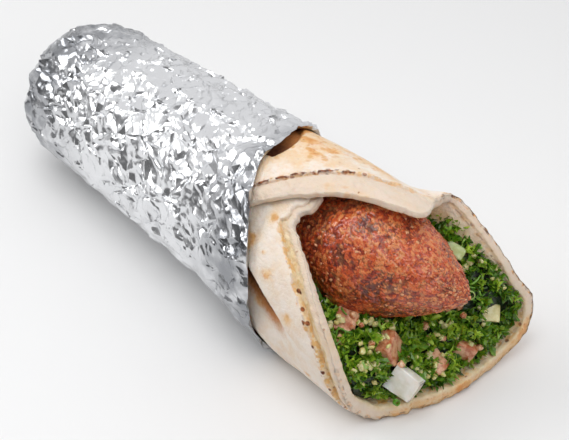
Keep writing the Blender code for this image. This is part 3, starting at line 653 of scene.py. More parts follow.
# %% Crust of packed meat
PACKED = 6000
seeds = torpedo(even_ball(PACKED, 31))
tones = np.random.default_rng(32).uniform(0, 1, PACKED)
sizes = np.random.default_rng(33).uniform(-0.2, 0.5, PACKED)
tree = kdtree.KDTree(PACKED)
for index, point in enumerate(seeds):
    tree.insert(point, index)
tree.balance()
stray = np.stack([bumps(plain, 1.0, seed) for seed in (37, 38, 39)], axis=-1)
height = np.empty(len(plain))
tone = np.empty(len(plain))
for index, point in enumerate(plain + 0.45 * stray):
    (_, first, near_by), (_, _, further) = tree.find_n(point, 2)
    gap = min(1.0, (further - near_by) / 0.5)
    height[index] = (0.22 + 0.40 * sizes[first]) * gap - 0.12
    tone[index] = tones[first]
outward = torpedo(ball, 1.0) - plain
outward /= np.linalg.norm(outward, axis=1)[:, None]
coarse = 0.42 * bumps(plain, 7.0, 34) + 0.34 * bumps(plain, 3.2, 35) + 0.12 * bumps(plain, 1.1, 36)
crust = plain + outward * (height + coarse)[:, None]
# Painted light: the tone rises towards the top, where the light from above falls; it also rises towards the
# tip at the mouth.
tone += 0.2 * (plain[:, 2] - KIBBEH_CENTRE[2]) / KIBBEH_RADIUS + 0.15 * ramp(ball[:, 0], 0.3, 0.9)
# The pit mark is painted shade: it darkens the gaps between the grains.
crust_marks = {"tone": tone, "pit": ramp(height + 0.3 * coarse, 0.05, -0.2)}
kibbeh_bm = loft(crust.reshape(along_it.shape + (3,)), crust_marks)
kibbeh = finish_piece(kibbeh_bm, "kibbeh_crust", "kibbeh")

# %% [markdown]
# ## Tabbouleh
# The heap is mostly chopped curly parsley, with soaked bulgur, spring onion and small dice. A
# core fills the roll, its green kept dark as painted shade of the heap's depths between the tufts,
# and the real things lie on it. Thousands of small pieces would be slow as objects, so a few
# models of each kind are made once, and numpy copies their points to all the places: one joined
# mesh for each kind.

# %% The heap's outline
HEAP_BACK = 150.0
HEAP_RUN = 40.0
HEAP_LIP = 7.0
HEAP_RISE = 26.0
HEAP_RIGHT = 14.0
HEAP_CORNER = 3.0
HEAP_FULL = (112.0, 132.0)
HEAP_DENTS = ((171.5, 28.5, 5.0), (188.0, 31.0, 4.5))     # x, y and depth
DENT_SPREAD = 26                                          # how wide they are


def heap_height(x, y):
    """Top of the salad: high behind the kibbeh, sloping to the bread's lip, higher at the right,
    with dents that leave the cucumber and an onion bare."""
    forward = np.clip((x - HEAP_BACK) / HEAP_RUN, 0, 1.15)
    slope = HEAP_LIP + HEAP_RISE * (1 - forward * forward)
    right = HEAP_RIGHT * ramp(y, 10, 36) * (1 - ramp(x, 183, 193))
    corner = HEAP_CORNER * ramp(x, 178, 190) * (1 - ramp(y, -14, -4))
    dents = sum(depth * np.exp(-((x - dent_x) ** 2 + (y - dent_y) ** 2) / DENT_SPREAD)
                for dent_x, dent_y, depth in HEAP_DENTS)
    return slope + right - corner - dents + 40 * (1 - ramp(x, *HEAP_FULL))


def heap_facing(x, y):
    """Which way the salad's surface faces."""
    along_x = (heap_height(x + 1, y) - heap_height(x - 1, y)) / 2
    along_y = (heap_height(x, y + 1) - heap_height(x, y - 1)) / 2
    return Vector((-along_x, -along_y, 1)).normalized()


def hollow_radius(turn, x):
    """Radius of the roll's hollow, measured from its axis."""
    radius = roll_radius(turn, x) - 1.3 * lap(turn, x) - pleat(turn, x)
    return radius - 1.12 * mouth(turn, THICKNESS) - LAP_DROP * ramp(turn, 425, 458)


def turn_and_reach(points):
    """Where points are in the roll: the turn that is innermost there, and how far from the axis."""
    above = points[:, 2] - axis_height(points[:, 0])
    angle = np.degrees(np.arctan2(above, points[:, 1])) % 360
    return np.where(angle < SHEET_START, angle + 360, angle), np.hypot(points[:, 1], above)


def past_the_rim(points):
    """How far points are beyond the rim of the bread beside them or under them."""
    beside, _ = turn_and_reach(points)
    under, _ = turn_and_reach(np.stack([points[:, 0], points[:, 1], 0 * points[:, 2] + 3.0], axis=-1))
    return points[:, 0] - np.maximum(mouth(beside, END), mouth(under, END))


def lip_room(turn):
    """How far behind the rim the salad ends: the lip in front stays bare."""
    return np.interp(turn, (205, 228, 245, 322, 340), (1.6, 3.4, 4.6, 4.4, -0.5))


def keep_in_roll(points, clearance):
    """Move points that reach into the bread back into its hollow; past the rim they are free."""
    turn, reach = turn_and_reach(points)
    limit = hollow_radius(turn, points[:, 0]) - clearance
    inside = points[:, 0] < mouth(turn, END) + 0.5
    shrink = np.where(inside, np.minimum(1, limit / np.maximum(reach, 1e-6)), 1)
    kept = points.copy()
    kept[:, 1] *= shrink
    kept[:, 2] = axis_height(points[:, 0]) + (points[:, 2] - axis_height(points[:, 0])) * shrink
    floor = table_height(kept[:, 0]) + mouth(turn, THICKNESS) + clearance + 0.3
    kept[:, 2] = np.where(inside, np.maximum(kept[:, 2], floor), kept[:, 2])
    return kept


# %% Bare core
CORE_SINK = 3.4
core_x = np.concatenate([(-11.5, 60, 105), np.linspace(112, 191, 110)])
core_y = np.linspace(-40, 55, 130)
grid_y, grid_x = np.meshgrid(core_y, core_x)
top = np.stack([grid_x, grid_y, heap_height(grid_x, grid_y) - CORE_SINK], axis=-1).reshape(-1, 3)
top[:, 2] += 1.2 * bumps(top, 6.0, 41) + 0.8 * bumps(top, 2.2, 42)
top[:, 2] = np.minimum(top[:, 2], axis_height(top[:, 0]) + 26)
for _ in range(6):
    turn, reach = turn_and_reach(top)
    top[:, 1] *= np.minimum(1, (hollow_radius(turn, top[:, 0]) - 1.0) / np.maximum(reach, 1e-6))
turn, _ = turn_and_reach(top)
past = np.maximum(0, past_the_rim(top) + 1.4 + np.maximum(lip_room(turn), 1.6))
top[:, 0] -= past
top[:, 2] = np.maximum(top[:, 2] - past, table_height(top[:, 0]) + mouth(turn, THICKNESS) + 0.6)
core_bm = bmesh.new()
bmesh.ops.create_grid(core_bm, x_segments=len(core_y) - 1, y_segments=len(core_x) - 1, size=1)
for vert, point in zip(core_bm.verts, top):
    vert.co = point
walls = bmesh.ops.extrude_edge_only(core_bm, edges=[edge for edge in core_bm.edges if edge.is_boundary])
for vert in walls["geom"]:
    if isinstance(vert, bmesh.types.BMVert):
        vert.co.y *= 0.6
        vert.co.z = 8.5
bmesh.ops.holes_fill(core_bm, edges=[edge for edge in core_bm.edges if edge.is_boundary], sides=0)
core = finish_piece(core_bm, "tabbouleh_core", "tabbouleh")

# %% [markdown]
# `strew` is the workhorse of the salad: it copies small models to many places. Each place is a
# centre, a turn, a size and a tone, and the tone is kept at the points for the finish to read.

# %% Strewing small things
def model_of(bm):
    """A small model as arrays: its points and its triangles."""
    bmesh.ops.triangulate(bm, faces=bm.faces)
    bmesh.ops.recalc_face_normals(bm, faces=bm.faces)
    if bm.calc_volume(signed=True) < 0:
        bmesh.ops.reverse_faces(bm, faces=bm.faces)
    bm.verts.index_update()
    points = np.array([vert.co for vert in bm.verts])
    faces = np.array([[vert.index for vert in face.verts] for face in bm.faces])
    bm.free()
    return points, faces


def strew(name, models, places, clearance=0.15, smooth=True):
    """Copy models to places and join them: one piece for each kind."""
    all_points, all_faces, all_tones, count = [], [], [], 0
    for number, (centre, turn, size, shade) in enumerate(places):
        points, faces = models[number % len(models)]
        all_points.append(points * size @ np.array(turn).T + centre)
        all_faces.append(faces + count)
        all_tones.append(np.full(len(points), shade))
        count += len(points)
    points = keep_in_roll(np.concatenate(all_points), clearance)
    mesh = bpy.data.meshes.new(name)
    mesh.from_pydata(points.tolist(), [], np.concatenate(all_faces).tolist())
    mesh.attributes.new("tone", "FLOAT", "POINT").data.foreach_set("value", np.concatenate(all_tones))
    return place_piece(mesh, name, None, smooth)


# %% Bulgur in the crust
def crumb_model(seed):
    """An uneven crumb with flat sides."""
    draw = random.Random(seed)
    bm = bmesh.new()
    bmesh.ops.create_icosphere(bm, subdivisions=1, radius=1)
    for vert in bm.verts:
        vert.co = Vector((vert.co.x, vert.co.y * 0.62, vert.co.z * 0.5)) * draw.uniform(0.72, 1.2)
    return model_of(bm)


CRUMBS = 2300
crumb_spots = even_ball(CRUMBS, 45)
on_crust = torpedo(crumb_spots, -0.15)
on_crust += (0.9 * (torpedo(crumb_spots, 1.0) - torpedo(crumb_spots))
             * bumps(on_crust, 7.0, 34)[:, None] * 0.55)
crumb_places = []
draw = random.Random(46)
for spot, ball_point in zip(on_crust, crumb_spots):
    if spot[0] > 118:
        facing = Vector(torpedo(ball_point[None], 1.0)[0] - torpedo(ball_point[None])[0]).normalized()
        turn = facing.to_track_quat("Z", "Y").to_matrix() @ Matrix.Rotation(draw.uniform(0, 6.28), 3, "Z")
        lean = Euler((draw.uniform(-0.5, 0.5), draw.uniform(-0.5, 0.5), 0)).to_matrix()
        crumb_places.append((spot, turn @ lean, draw.uniform(0.45, 1.05), draw.uniform(0, 1) ** 1.6))
crumbs = strew("kibbeh_bulgur", [crumb_model(seed) for seed in range(40, 45)],
               crumb_places, smooth=False)

# %% Where the dice are
DICE = (
    ("tomato_1", (162.5, -15.5, 28.5), (8, 9, 7), (20, 15, 35), "tomato"),
    ("tomato_2", (173.5, -8.5, 21.5), (11, 10, 9), (12, -18, 20), "tomato"),
    ("tomato_3", (175.5, -15.5, 15.0), (7, 6, 6), (30, 20, 60), "tomato"),
    ("tomato_4", (184.5, 6.5, 11.0), (8, 7, 6), (15, 30, 10), "tomato"),
    ("tomato_5", (186.0, 19.5, 11.2), (8, 8, 6), (-10, 25, 40), "tomato"),
    ("onion_1", (184.7, -9.2, 12.9), (11, 9.5, 5.2), (60, 20, 15), "onion"),
    ("onion_2", (184.5, 33.0, 17.5), (8, 7, 5), (40, 10, 50), "onion"),
    ("onion_3", (154.0, -18.5, 29.5), (6, 6, 5), (10, 40, 25), "onion"),
    ("cucumber_1", (168.0, 31.5, 36.0), (8, 8, 5), (-50, 15, 20), "cucumber"),
)


def clear_of_big_things(point, room):
    """True if a place is free of the kibbeh and the dice."""
    x, y, z = np.array(point) - KIBBEH_CENTRE
    ahead = x * math.cos(KIBBEH_YAW) + y * math.sin(KIBBEH_YAW)
    aside = y * math.cos(KIBBEH_YAW) - x * math.sin(KIBBEH_YAW)
    along_it = min(1.0, abs(ahead) / (KIBBEH_HALF + room))
    if math.hypot(aside, z) < KIBBEH_RADIUS * (1 - along_it ** KIBBEH_POINT) ** 0.75 + room and along_it < 1:
        return False
    for _, centre, size, turned, _ in DICE:
        turn = Euler([math.radians(part) for part in turned]).to_matrix()
        local = turn.transposed() @ (Vector(point) - Vector(centre))
        if all(abs(part) < side / 2 + room - 0.7 for part, side in zip(local, size)):
            return False
    return True


def hides_dice(point):
    """True if a place lies in front of one of the dice at the front, as the camera sees it."""
    for _, centre, size, turned, _ in DICE[:6]:
        turn = Euler([math.radians(part) for part in turned]).to_matrix()
        for further in (1.5, 3.0, 4.5, 6.0, 7.5):
            behind = Vector(point) - back * further
            local = turn.transposed() @ (behind - Vector(centre))
            bare = behind.z > float(heap_height(behind.x, behind.y)) - CORE_SINK + 1.5
            if bare and all(abs(part) < side / 2 - 0.4 for part, side in zip(local, size)):
                return True
    return False


def random_turn(facing, draw, lean):
    """A turn whose Z faces out of the heap, spun freely and leant a little."""
    turn = facing.to_track_quat("Z", "Y").to_matrix()
    leant = Euler((draw.uniform(-lean, lean), draw.uniform(-lean, lean), 0)).to_matrix()
    return turn @ leant @ Matrix.Rotation(draw.uniform(0, 2 * math.pi), 3, "Z")


# %% [markdown]
# A parsley leaf is a fan of triangles whose rim is cut into teeth and waved up and down, then
# given a thin wall. Curly parsley grows in tufts, so the leaves sit on small domes. Light and shade
# are painted into their tone: those on top of a dome are made brighter, as if they catch the
# light, and those down its sides darker. The tufts stand on a jittered grid, so that no bare
# patch is left between them.

# %% Parsley
def parsley_leaf(seed, teeth):
    """A toothed, ruffled leaf about two units across."""
    draw = random.Random(seed)
    bm = bmesh.new()
    bmesh.ops.create_circle(bm, segments=2 * teeth, radius=1, cap_ends=True, cap_tris=True)
    phase = draw.uniform(0, 6)
    for vert in bm.verts:
        if vert.co.length < 0.5:
            vert.co.z = -0.30
            continue
        angle = math.atan2(vert.co.y, vert.co.x)
        tooth = round(angle / math.pi * teeth) % 2
        lobes = 0.80 + 0.34 * math.cos(3 * angle + phase)
        reach = lobes * (1.05 if tooth else 0.58) * draw.uniform(0.85, 1.15)
        wave = 0.45 * math.sin(2 * angle + phase) + (0.26 if tooth else -0.14) + draw.uniform(-0.12, 0.12)
        vert.co = Vector((math.cos(angle) * reach, 0.8 * math.sin(angle) * reach, wave))
    bmesh.ops.solidify(bm, geom=bm.faces[:] + bm.edges[:] + bm.verts[:], thickness=0.10)
    return model_of(bm)


def on_heap(x, y, lift, room):
    """A place on the heap's surface, or None where the roll or a big thing is in the way. Near
    the rim the heap's front drops down to the bread."""
    under, _ = turn_and_reach(np.array([(x, y, 3.0)]))
    spot = np.array((x, y, float(heap_height(x, y)) + lift))
    past = max(0.0, past_the_rim(spot[None])[0] + lip_room(under)[0])
    spot -= (past, 0.0, past)
    across = hollow_radius(under, spot[0])[0] ** 2 - y * y
    spot[2] = max(spot[2], float(axis_height(spot[0])) - math.sqrt(max(across, 0.0)) + 1.4)
    turn, reach = turn_and_reach(spot[None])
    if reach[0] > hollow_radius(turn, spot[0])[0] - 0.5:
        return None
    return spot if clear_of_big_things(spot, room) else None


def heap_places(count, seed, lift, room, low_x=146.0):
    """Random places on the heap's front, as centre, facing and the random draw."""
    draw = random.Random(seed)
    places = []
    while len(places) < count:
        x, y = draw.uniform(low_x, 191.5), draw.uniform(-31, 46)
        spot = on_heap(x, y, draw.uniform(*lift), room)
        if spot is not None:
            places.append((spot, heap_facing(x, y), draw))
    return places


TUFT_SPACING = 3.2
LEAVES_IN_TUFT = 11
leaf_models = [parsley_leaf(50 + number, teeth) for number, teeth in enumerate((5, 6, 7, 5, 6, 7))]
leaf_places = []
draw = random.Random(61)
for grid_x, grid_y in itertools.product(np.arange(147, 192, TUFT_SPACING), np.arange(-30, 46, TUFT_SPACING)):
    x, y = grid_x + draw.uniform(-1.5, 1.5), grid_y + draw.uniform(-1.5, 1.5)
    if on_heap(x, y, 0.0, 0.2) is None:
        continue
    centre = on_heap(x, y, draw.uniform(-1.9, 0.7), -9.0)
    if centre is None:
        continue
    facing = heap_facing(x, y)
    dome, tuft_tone = draw.uniform(2.0, 3.8), draw.uniform(0, 1)
    coarse_leaf = 1.5 if draw.random() < 0.45 else 1.0
    for _ in range(round(LEAVES_IN_TUFT / coarse_leaf) + 2):
        way = Vector([draw.gauss(0, 1) for _ in range(3)]).normalized()
        if way.dot(facing) < 0:
            way = -way
        outer = draw.uniform(0.45, 1.0)
        spot = centre + np.array(way) * dome * outer
        size = draw.uniform(1.0, 2.2) * coarse_leaf
        if not clear_of_big_things(spot, 0.35 * size) or (hides_dice(spot) and draw.random() < 0.9):
            continue
        # Painted light and shade: a leaf high on its dome gets a brighter tone, one down the side a darker
        # one; the tuft's tone and the random part are real variation.
        shade = 0.08 + 0.60 * way.dot(facing) * outer + 0.38 * tuft_tone + draw.uniform(-0.15, 0.15)
        lean = (facing + way).normalized()
        leaf_places.append((spot, random_turn(lean, draw, 0.7), size, min(1.0, max(0.0, shade))))
leaf_spots = np.array([place[0] for place in leaf_places])
below, _ = turn_and_reach(leaf_spots * (1, 1, 0) + (0, 0, 3))
over_lip = past_the_rim(leaf_spots) + 0.75 * lip_room(below) > 0
beside, reach = turn_and_reach(leaf_spots)
over_lip |= ((leaf_spots[:, 0] > mouth(beside, END) - 3)
             & (reach > hollow_radius(beside, leaf_spots[:, 0]) - 2.5))
leaf_places = [place for place, over in zip(leaf_places, over_lip) if not over]
print("parsley leaves:", len(leaf_places))
parsley = strew("parsley_leaves", leaf_models, leaf_places, smooth=False)

# %% Parsley stalks and bulgur
def stalk_model():
    """A short piece of stalk, bent a little."""
    bm = bmesh.new()
    bmesh.ops.create_cone(bm, segments=6, radius1=0.42, radius2=0.32, depth=5.0, cap_ends=True)
    sides = [edge for edge in bm.edges if abs(edge.verts[0].co.z - edge.verts[1].co.z) > 1]
    bmesh.ops.subdivide_edges(bm, edges=sides, cuts=3)
    for vert in bm.verts:
        vert.co.x += 0.09 * vert.co.z ** 2
    bmesh.ops.rotate(bm, verts=bm.verts, cent=(0, 0, 0), matrix=Matrix.Rotation(math.pi / 2, 3, "X"))
    return model_of(bm)


def grain_model(seed):
    """A swollen bulgur grain: a lumpy, split bit of wheat."""
    draw = random.Random(seed)
    bm = bmesh.new()
    bmesh.ops.create_icosphere(bm, subdivisions=2, radius=1)
    for vert in bm.verts:
        lump = 1 + draw.uniform(-0.14, 0.14) - 0.16 * float(hill(vert.co.y, 0, 0.3)) * (vert.co.z > 0)
        vert.co = Vector((vert.co.x * 1.35, vert.co.y * 0.82, vert.co.z * 0.75)) * lump
    return model_of(bm)


stalk_places = [(centre, random_turn(facing, draw_here, 0.5), draw_here.uniform(0.6, 1.1),
                 draw_here.uniform(0, 1))
                for centre, facing, draw_here in heap_places(40, 71, (0.4, 2.6), 0.6)]
stalks = strew("parsley_stalks", [stalk_model()], stalk_places)

BULGUR_CLUMPS = ((169, -11), (174, -17), (176, -21), (187, 2), (180, 15), (183, -2), (178, -16))
bulgur_places = []
draw = random.Random(81)
for x, y in BULGUR_CLUMPS:
    for _ in range(6):
        spot_x, spot_y = x + draw.gauss(0, 1.6), y + draw.gauss(0, 1.6)
        spot = on_heap(spot_x, spot_y, draw.uniform(1.0, 2.6), 0.4)
        if spot is not None:
            bulgur_places.append((spot, random_turn(heap_facing(spot_x, spot_y), draw, 0.8),
                                  draw.uniform(0.85, 1.35), draw.uniform(0, 1)))
_, centre, size, turned, _ = DICE[1]
dice_turn = Euler([math.radians(part) for part in turned]).to_matrix()
for _ in range(9):
    spot = dice_turn @ Vector((draw.gauss(0.5, 1.9), draw.gauss(0, 1.5), size[2] / 2 + 0.4)) + Vector(centre)
    bulgur_places.append((np.array(spot), random_turn(dice_turn @ Vector((0, 0, 1)), draw, 0.5),
                          draw.uniform(0.7, 1.0), draw.uniform(0, 1)))
for centre, facing, draw_here in heap_places(9, 82, (0.8, 2.6), 0.5):
    bulgur_places.append((centre, random_turn(facing, draw_here, 0.8), draw_here.uniform(0.55, 0.95),
                          draw_here.uniform(0, 1)))
bulgur = strew("bulgur_grains", [grain_model(90 + number) for number in range(4)], bulgur_places)

# %% Chopped bits
def bit_model(seed):
    """A small chopped bit: a cube knocked out of square, its edges cut off."""
    draw = random.Random(seed)
    bm = bmesh.new()
    bmesh.ops.create_cube(bm, size=1.6)
    for vert in bm.verts:
        vert.co = Vector([part * draw.uniform(0.6, 1.2) for part in vert.co])
    bmesh.ops.bevel(bm, geom=bm.edges[:], offset=0.3, segments=2, affect="EDGES", profile=0.5, material=-1)
    return model_of(bm)


def bits_at(spots, count, spread, sizes, seed):
    """Places of chopped bits: a few round each spot."""
    draw = random.Random(seed)
    places = []
    for x, y in spots:
        for _ in range(count):
            spot_x, spot_y = x + draw.gauss(0, spread), y + draw.gauss(0, spread)
            spot = on_heap(spot_x, spot_y, draw.uniform(1.0, 2.4), 0.3)
            if spot is not None:
                places.append((spot, random_turn(heap_facing(spot_x, spot_y), draw, 0.9),
                               draw.uniform(*sizes), draw.uniform(0, 1)))
    return places


bit_models = [bit_model(seed) for seed in range(120, 124)]
TOMATO_SPOTS = ((172, -13), (179, -6), (181, 9), (187, 24), (178, 22), (166, -19))
tomato_bits = strew("tomato_bits", bit_models, bits_at(TOMATO_SPOTS, 4, 2.4, (0.9, 1.8), 125))
ONION_SPOTS = ((186, 30), (183, 37), (188, 18), (178, -17), (163, -20), (170, -6), (183, 3), (176, 33))
onion_bits = strew("onion_bits", bit_models, bits_at(ONION_SPOTS, 5, 2.2, (0.7, 1.5), 126))

# %% [markdown]
# Spring onion is cut across into rings. Each ring is a small profile spun once round. A real ring
# is green outside and pale inside; here each ring takes one random tone.

# %% Spring onion rings
def onion_ring_model(outer, wall, depth):
    """A ring with rounded rims, made by spinning its profile."""
    bm = bmesh.new()
    middle = outer - wall / 2
    corners = [bm.verts.new((middle + math.cos(a) * wall / 2, 0, math.sin(a) * depth / 2))
               for a in np.linspace(0, 2 * math.pi, 8, endpoint=False)]
    loop = [bm.edges.new((corners[i], corners[(i + 1) % 8])) for i in range(8)]
    bmesh.ops.spin(bm, geom=corners + loop, axis=(0, 0, 1), cent=(0, 0, 0), steps=18,
                   angle=2 * math.pi, use_merge=True)
    bmesh.ops.remove_doubles(bm, verts=bm.verts, dist=0.01)
    return model_of(bm)


RING_SPOTS = ((188.0, 43.0, 0.9), (189.5, 38.0, 0.8), (184.0, 41.0, 0.8), (176.5, -20.5, 0.7),
              (166.0, -21.0, 0.6), (181.0, 26.0, 0.7), (174.0, 38.0, 0.7), (187.0, -15.0, 0.5))
ring_places = []
draw = random.Random(91)
for x, y, size in RING_SPOTS:
    spot = np.array((x, y, float(heap_height(x, y)) + 1.6))
    ring_places.append((spot, random_turn(heap_facing(x, y), draw, 0.7), size, draw.uniform(0, 1)))
rings = strew("spring_onion_rings",
              [onion_ring_model(2.9, 0.8, 2.4), onion_ring_model(2.3, 0.7, 3.4)],
              ring_places)

# %% [markdown]
# ## Diced vegetables
# A knife leaves flat faces with crisp but soft edges, and flesh is never quite flat. Each dice is
# a cube that is bevelled, subdivided and then pushed about by small bumps.

# %% Dice
def dice_piece(name, centre, size, turned, kind):
    """One cut cube in its place, slightly smaller than its solid."""
    bm = bmesh.new()
    bmesh.ops.create_cube(bm, size=1)
    for vert in bm.verts:
        skew = 1 - 0.12 * (vert.co.z > 0) * (vert.co.x > 0)
        vert.co = Vector([part * side * skew for part, side in zip(vert.co, size)])
    crisp = {"tomato": 0.75, "onion": 0.5, "cucumber": 0.7}[kind]
    bmesh.ops.bevel(bm, geom=bm.edges[:], offset=crisp, segments=4, affect="EDGES", profile=0.5, material=-1)
    bmesh.ops.subdivide_edges(bm, edges=bm.edges[:], cuts=7, use_grid_fill=True)
    bmesh.ops.triangulate(bm, faces=[face for face in bm.faces if len(face.verts) > 4])
    bm.normal_update()
    turn = Euler([math.radians(part) for part in turned]).to_matrix()
    places = np.array([vert.co for vert in bm.verts]) + centre
    push = (0.42 * bumps(places, 4.0, 101) + 0.18 * bumps(places, 1.6, 102)) * crisp - 0.12
    for vert, amount in zip(bm.verts, push):
        vert.co = turn @ (vert.co + vert.normal * float(amount)) + Vector(centre)
    return finish_piece(bm, name + "_cut", name)


dice = {entry[0]: (dice_piece(*entry), entry[-1]) for entry in DICE}

# %% [markdown]
# ## Finishes
# Shader maths reads best as plain sums, so a small class wraps a socket and adds a Math node for
# each operator. `Finish.node` makes every other kind of node: first its settings, then what goes
# into its sockets. A number that is the same everywhere is set on the shader itself.

# %% Shader maths
class Value:
    """A node's output that can be used in sums."""

    def __init__(self, finish, socket):
        self.finish = finish
        self.socket = socket

    def maths(self, operation, first, second):
        return self.finish.maths(operation, first, second)

    def __add__(self, other):
        return self.maths("ADD", self, other)

    def __sub__(self, other):
        return self.maths("SUBTRACT", self, other)

    def __rsub__(self, other):
        return self.maths("SUBTRACT", other, self)

    def __mul__(self, other):
        return self.maths("MULTIPLY", self, other)

    __radd__ = __add__
    __rmul__ = __mul__


def tint(red, green, blue):
    """A colour as seen on a screen, 0 to 255, as the linear colour that a shader takes."""
    return tuple((part / 255) ** 2.2 for part in (red, green, blue)) + (1.0,)


class Finish:
    """A Principled material that is built up node by node."""

    def __init__(self, name, **constants):
        self.material = bpy.data.materials.new(name)
        self.material.use_nodes = True
        self.tree = self.material.node_tree
        self.shader = self.tree.nodes["Principled BSDF"]
        self.use(**constants)

    def use(self, **values):
        """Set or link sockets of the shader: Base_Color=... stands for Base Color."""
        for name, value in values.items():
            self.plug(value, self.shader.inputs[name.replace("_", " ")])

    def plug(self, value, socket):
        if isinstance(value, Value):
            self.tree.links.new(value.socket, socket)
        else:
            socket.default_value = value

    def node(self, kind, settings=None, sockets=None, output=0):
        node = self.tree.nodes.new(kind)
        for key, value in (settings or {}).items():
            if key == "stops":
                self.set_stops(node.color_ramp, value)
            else:
                setattr(node, key, value)
        for key, value in (sockets or {}).items():
            self.plug(value, node.inputs[key])
        return Value(self, node.outputs[output])

    def set_stops(self, color_ramp, stops):
        while len(color_ramp.elements) < len(stops):
            color_ramp.elements.new(0.5)
        for element, (position, colour) in zip(color_ramp.elements, stops):
            element.position = position
            element.color = colour

    def maths(self, operation, first, second=0.0):
        """One Math node."""
        return self.node("ShaderNodeMath", {"operation": operation}, {0: first, 1: second})

    def places(self):
        """Where a point is on the object, in metres."""
        return self.node("ShaderNodeTexCoord", output=3)

    def grain(self, size, detail=3.0, roughness=0.55, distortion=0.0):
        """Cloudy noise whose clouds are about this size in millimetres."""
        sockets = {"Vector": self.places(), "Scale": 1.0 / (size * MM), "Detail": detail,
                   "Roughness": roughness, "Distortion": distortion}
        return self.node("ShaderNodeTexNoise", None, sockets)

    def cells(self, size, feature="F1", output=0):
        """Distance to the nearest of random points, this many millimetres apart."""
        sockets = {"Vector": self.places(), "Scale": 1.0 / (size * MM)}
        return self.node("ShaderNodeTexVoronoi", {"feature": feature}, sockets, output)

    def mark(self, name):
        """A number kept at the points of the piece."""
        return self.node("ShaderNodeAttribute", {"attribute_name": name}, output=2)

    def between(self, value, low, high):
        """0 below low, 1 above high, soft in between."""
        sockets = {"Value": value, "From Min": low, "From Max": high}
        return self.node("ShaderNodeMapRange", {"interpolation_type": "SMOOTHSTEP"}, sockets)

    def ramp(self, value, *stops):
        """Colours along a value."""
        return self.node("ShaderNodeValToRGB", {"stops": stops}, {"Fac": value})

    def mix(self, first, second, factor, blend="MIX"):
        """Blend two colours."""
        settings = {"data_type": "RGBA", "blend_type": blend}
        return self.node("ShaderNodeMix", settings, {0: factor, 6: first, 7: second}, 2)

    def bump(self, height, depth, strength=1.0):
        """Relief too fine for the mesh, this many millimetres deep."""
        sockets = {"Height": height, "Distance": depth * MM, "Strength": strength}
        self.use(Normal=self.node("ShaderNodeBump", None, sockets))


# %% [markdown]
# **Bread.** Flour baked pale, with a warm blush where it touched the oven, brown freckles along
# the edges, and a yellower, moist inner ply.

# %% Bread finish
def bread_finish():
    finish = Finish("baked_bread", Roughness=0.62, Subsurface_Weight=0.22, Subsurface_Scale=0.003)
    finish.use(Subsurface_Radius=(1.0, 0.55, 0.3))
    # The toast mark holds real browning and also the painted shade under the foil's lifted edge.
    toast, moist = finish.mark("toast"), finish.mark("moist")
    line, spots = finish.mark("line"), finish.mark("spots")
    ply, rim = finish.mark("ply"), finish.mark("rim")
    fine, broad, uneven = finish.grain(1.1, 4.0), finish.grain(6.0, 5.0), finish.grain(2.6, 4.0)
    colour = finish.mix(tint(244, 231, 218), tint(238, 217, 194),
                        finish.between(broad + fine * 0.25, 0.45, 0.82))
    colour = finish.mix(colour, tint(222, 200, 178), finish.between(ply, -0.5, 0.5) * 0.65)
    damp = finish.mix(tint(240, 220, 180), tint(224, 190, 126),
                      finish.between(finish.grain(2.0, 4.0), 0.35, 0.65))
    colour = finish.mix(colour, damp, moist * 0.85)
    blush = finish.between(toast + broad * 0.9 + fine * 0.35 - 0.62, 0.05, 0.75)
    colour = finish.mix(colour, tint(238, 196, 142), blush)
    mottle = finish.between(toast + uneven * 1.1 + fine * 0.3 - 0.75, 0.35, 0.9)
    colour = finish.mix(colour, tint(220, 150, 84), mottle)
    dabs = finish.between(finish.cells(3.8) + uneven * 0.6, 0.66, 0.48) * finish.between(toast, 0.12, 0.45)
    colour = finish.mix(colour, tint(220, 166, 104), dabs * 0.75)
    specks = finish.between(finish.grain(1.7, 2.5, 0.7), 0.60, 0.68) * finish.between(toast, 0.25, 0.6)
    colour = finish.mix(colour, tint(198, 124, 62), specks * 0.8)
    wander = finish.grain(3.0, 2.0) * 1.6 - 0.8
    off_line = finish.maths("ABSOLUTE", ply + 0.45 + wander)
    halo = (finish.between(off_line + fine, 2.4, 0.9) * spots
            * finish.between(finish.grain(2.4, 2.0), 0.47, 0.56))
    colour = finish.mix(colour, tint(230, 178, 104), halo * 0.8)
    dashes = finish.between(finish.grain(2.2, 1.5), 0.42, 0.54) * line
    drawn = finish.between(off_line + fine * 0.5, 1.05, 0.4) * dashes
    ovals = (finish.between(finish.cells(3.6) + fine * 0.15, 0.36, 0.24)
             * finish.between(off_line, 1.7, 0.9) * spots)
    dark = finish.mix(tint(160, 92, 50), tint(92, 46, 24), finish.between(fine, 0.4, 0.6))
    colour = finish.mix(colour, dark, finish.maths("MAXIMUM", drawn, ovals))
    rim_line = (finish.between(finish.maths("ABSOLUTE", rim - 0.5 + wander), 1.1, 0.2)
                * finish.mark("burnt_rim"))
    baked = finish.mix(tint(228, 164, 92), tint(104, 56, 28),
                       finish.between(finish.grain(1.6, 2.0), 0.46, 0.56))
    colour = finish.mix(colour, baked, rim_line * finish.between(finish.grain(2.6, 1.5), 0.46, 0.6))
    freckles = finish.between(finish.cells(3.4) + fine * 0.16, 0.30, 0.16)
    freckles = freckles * finish.between(finish.grain(6.0, 2.0) + toast * 0.24, 0.60, 0.68)
    colour = finish.mix(colour, tint(158, 92, 46), freckles * (1.0 - moist) * 0.85)
    # Painted shade from the crease mark: brown, then near black, under the pleat, in the hollow beside the
    # foil and at the rim's pinch.
    crease = finish.mark("crease") + fine * 0.3 - 0.15
    colour = finish.mix(colour, tint(190, 122, 66), finish.between(crease, 0.05, 0.6))
    colour = finish.mix(colour, tint(84, 42, 16), finish.between(crease, 0.5, 1.05))
    finish.use(Base_Color=colour, Roughness=0.74 - moist * 0.25)
    finish.bump(fine + uneven * 0.7, 0.42, 1.0)
    return finish.material


bread.data.materials.append(bread_finish())
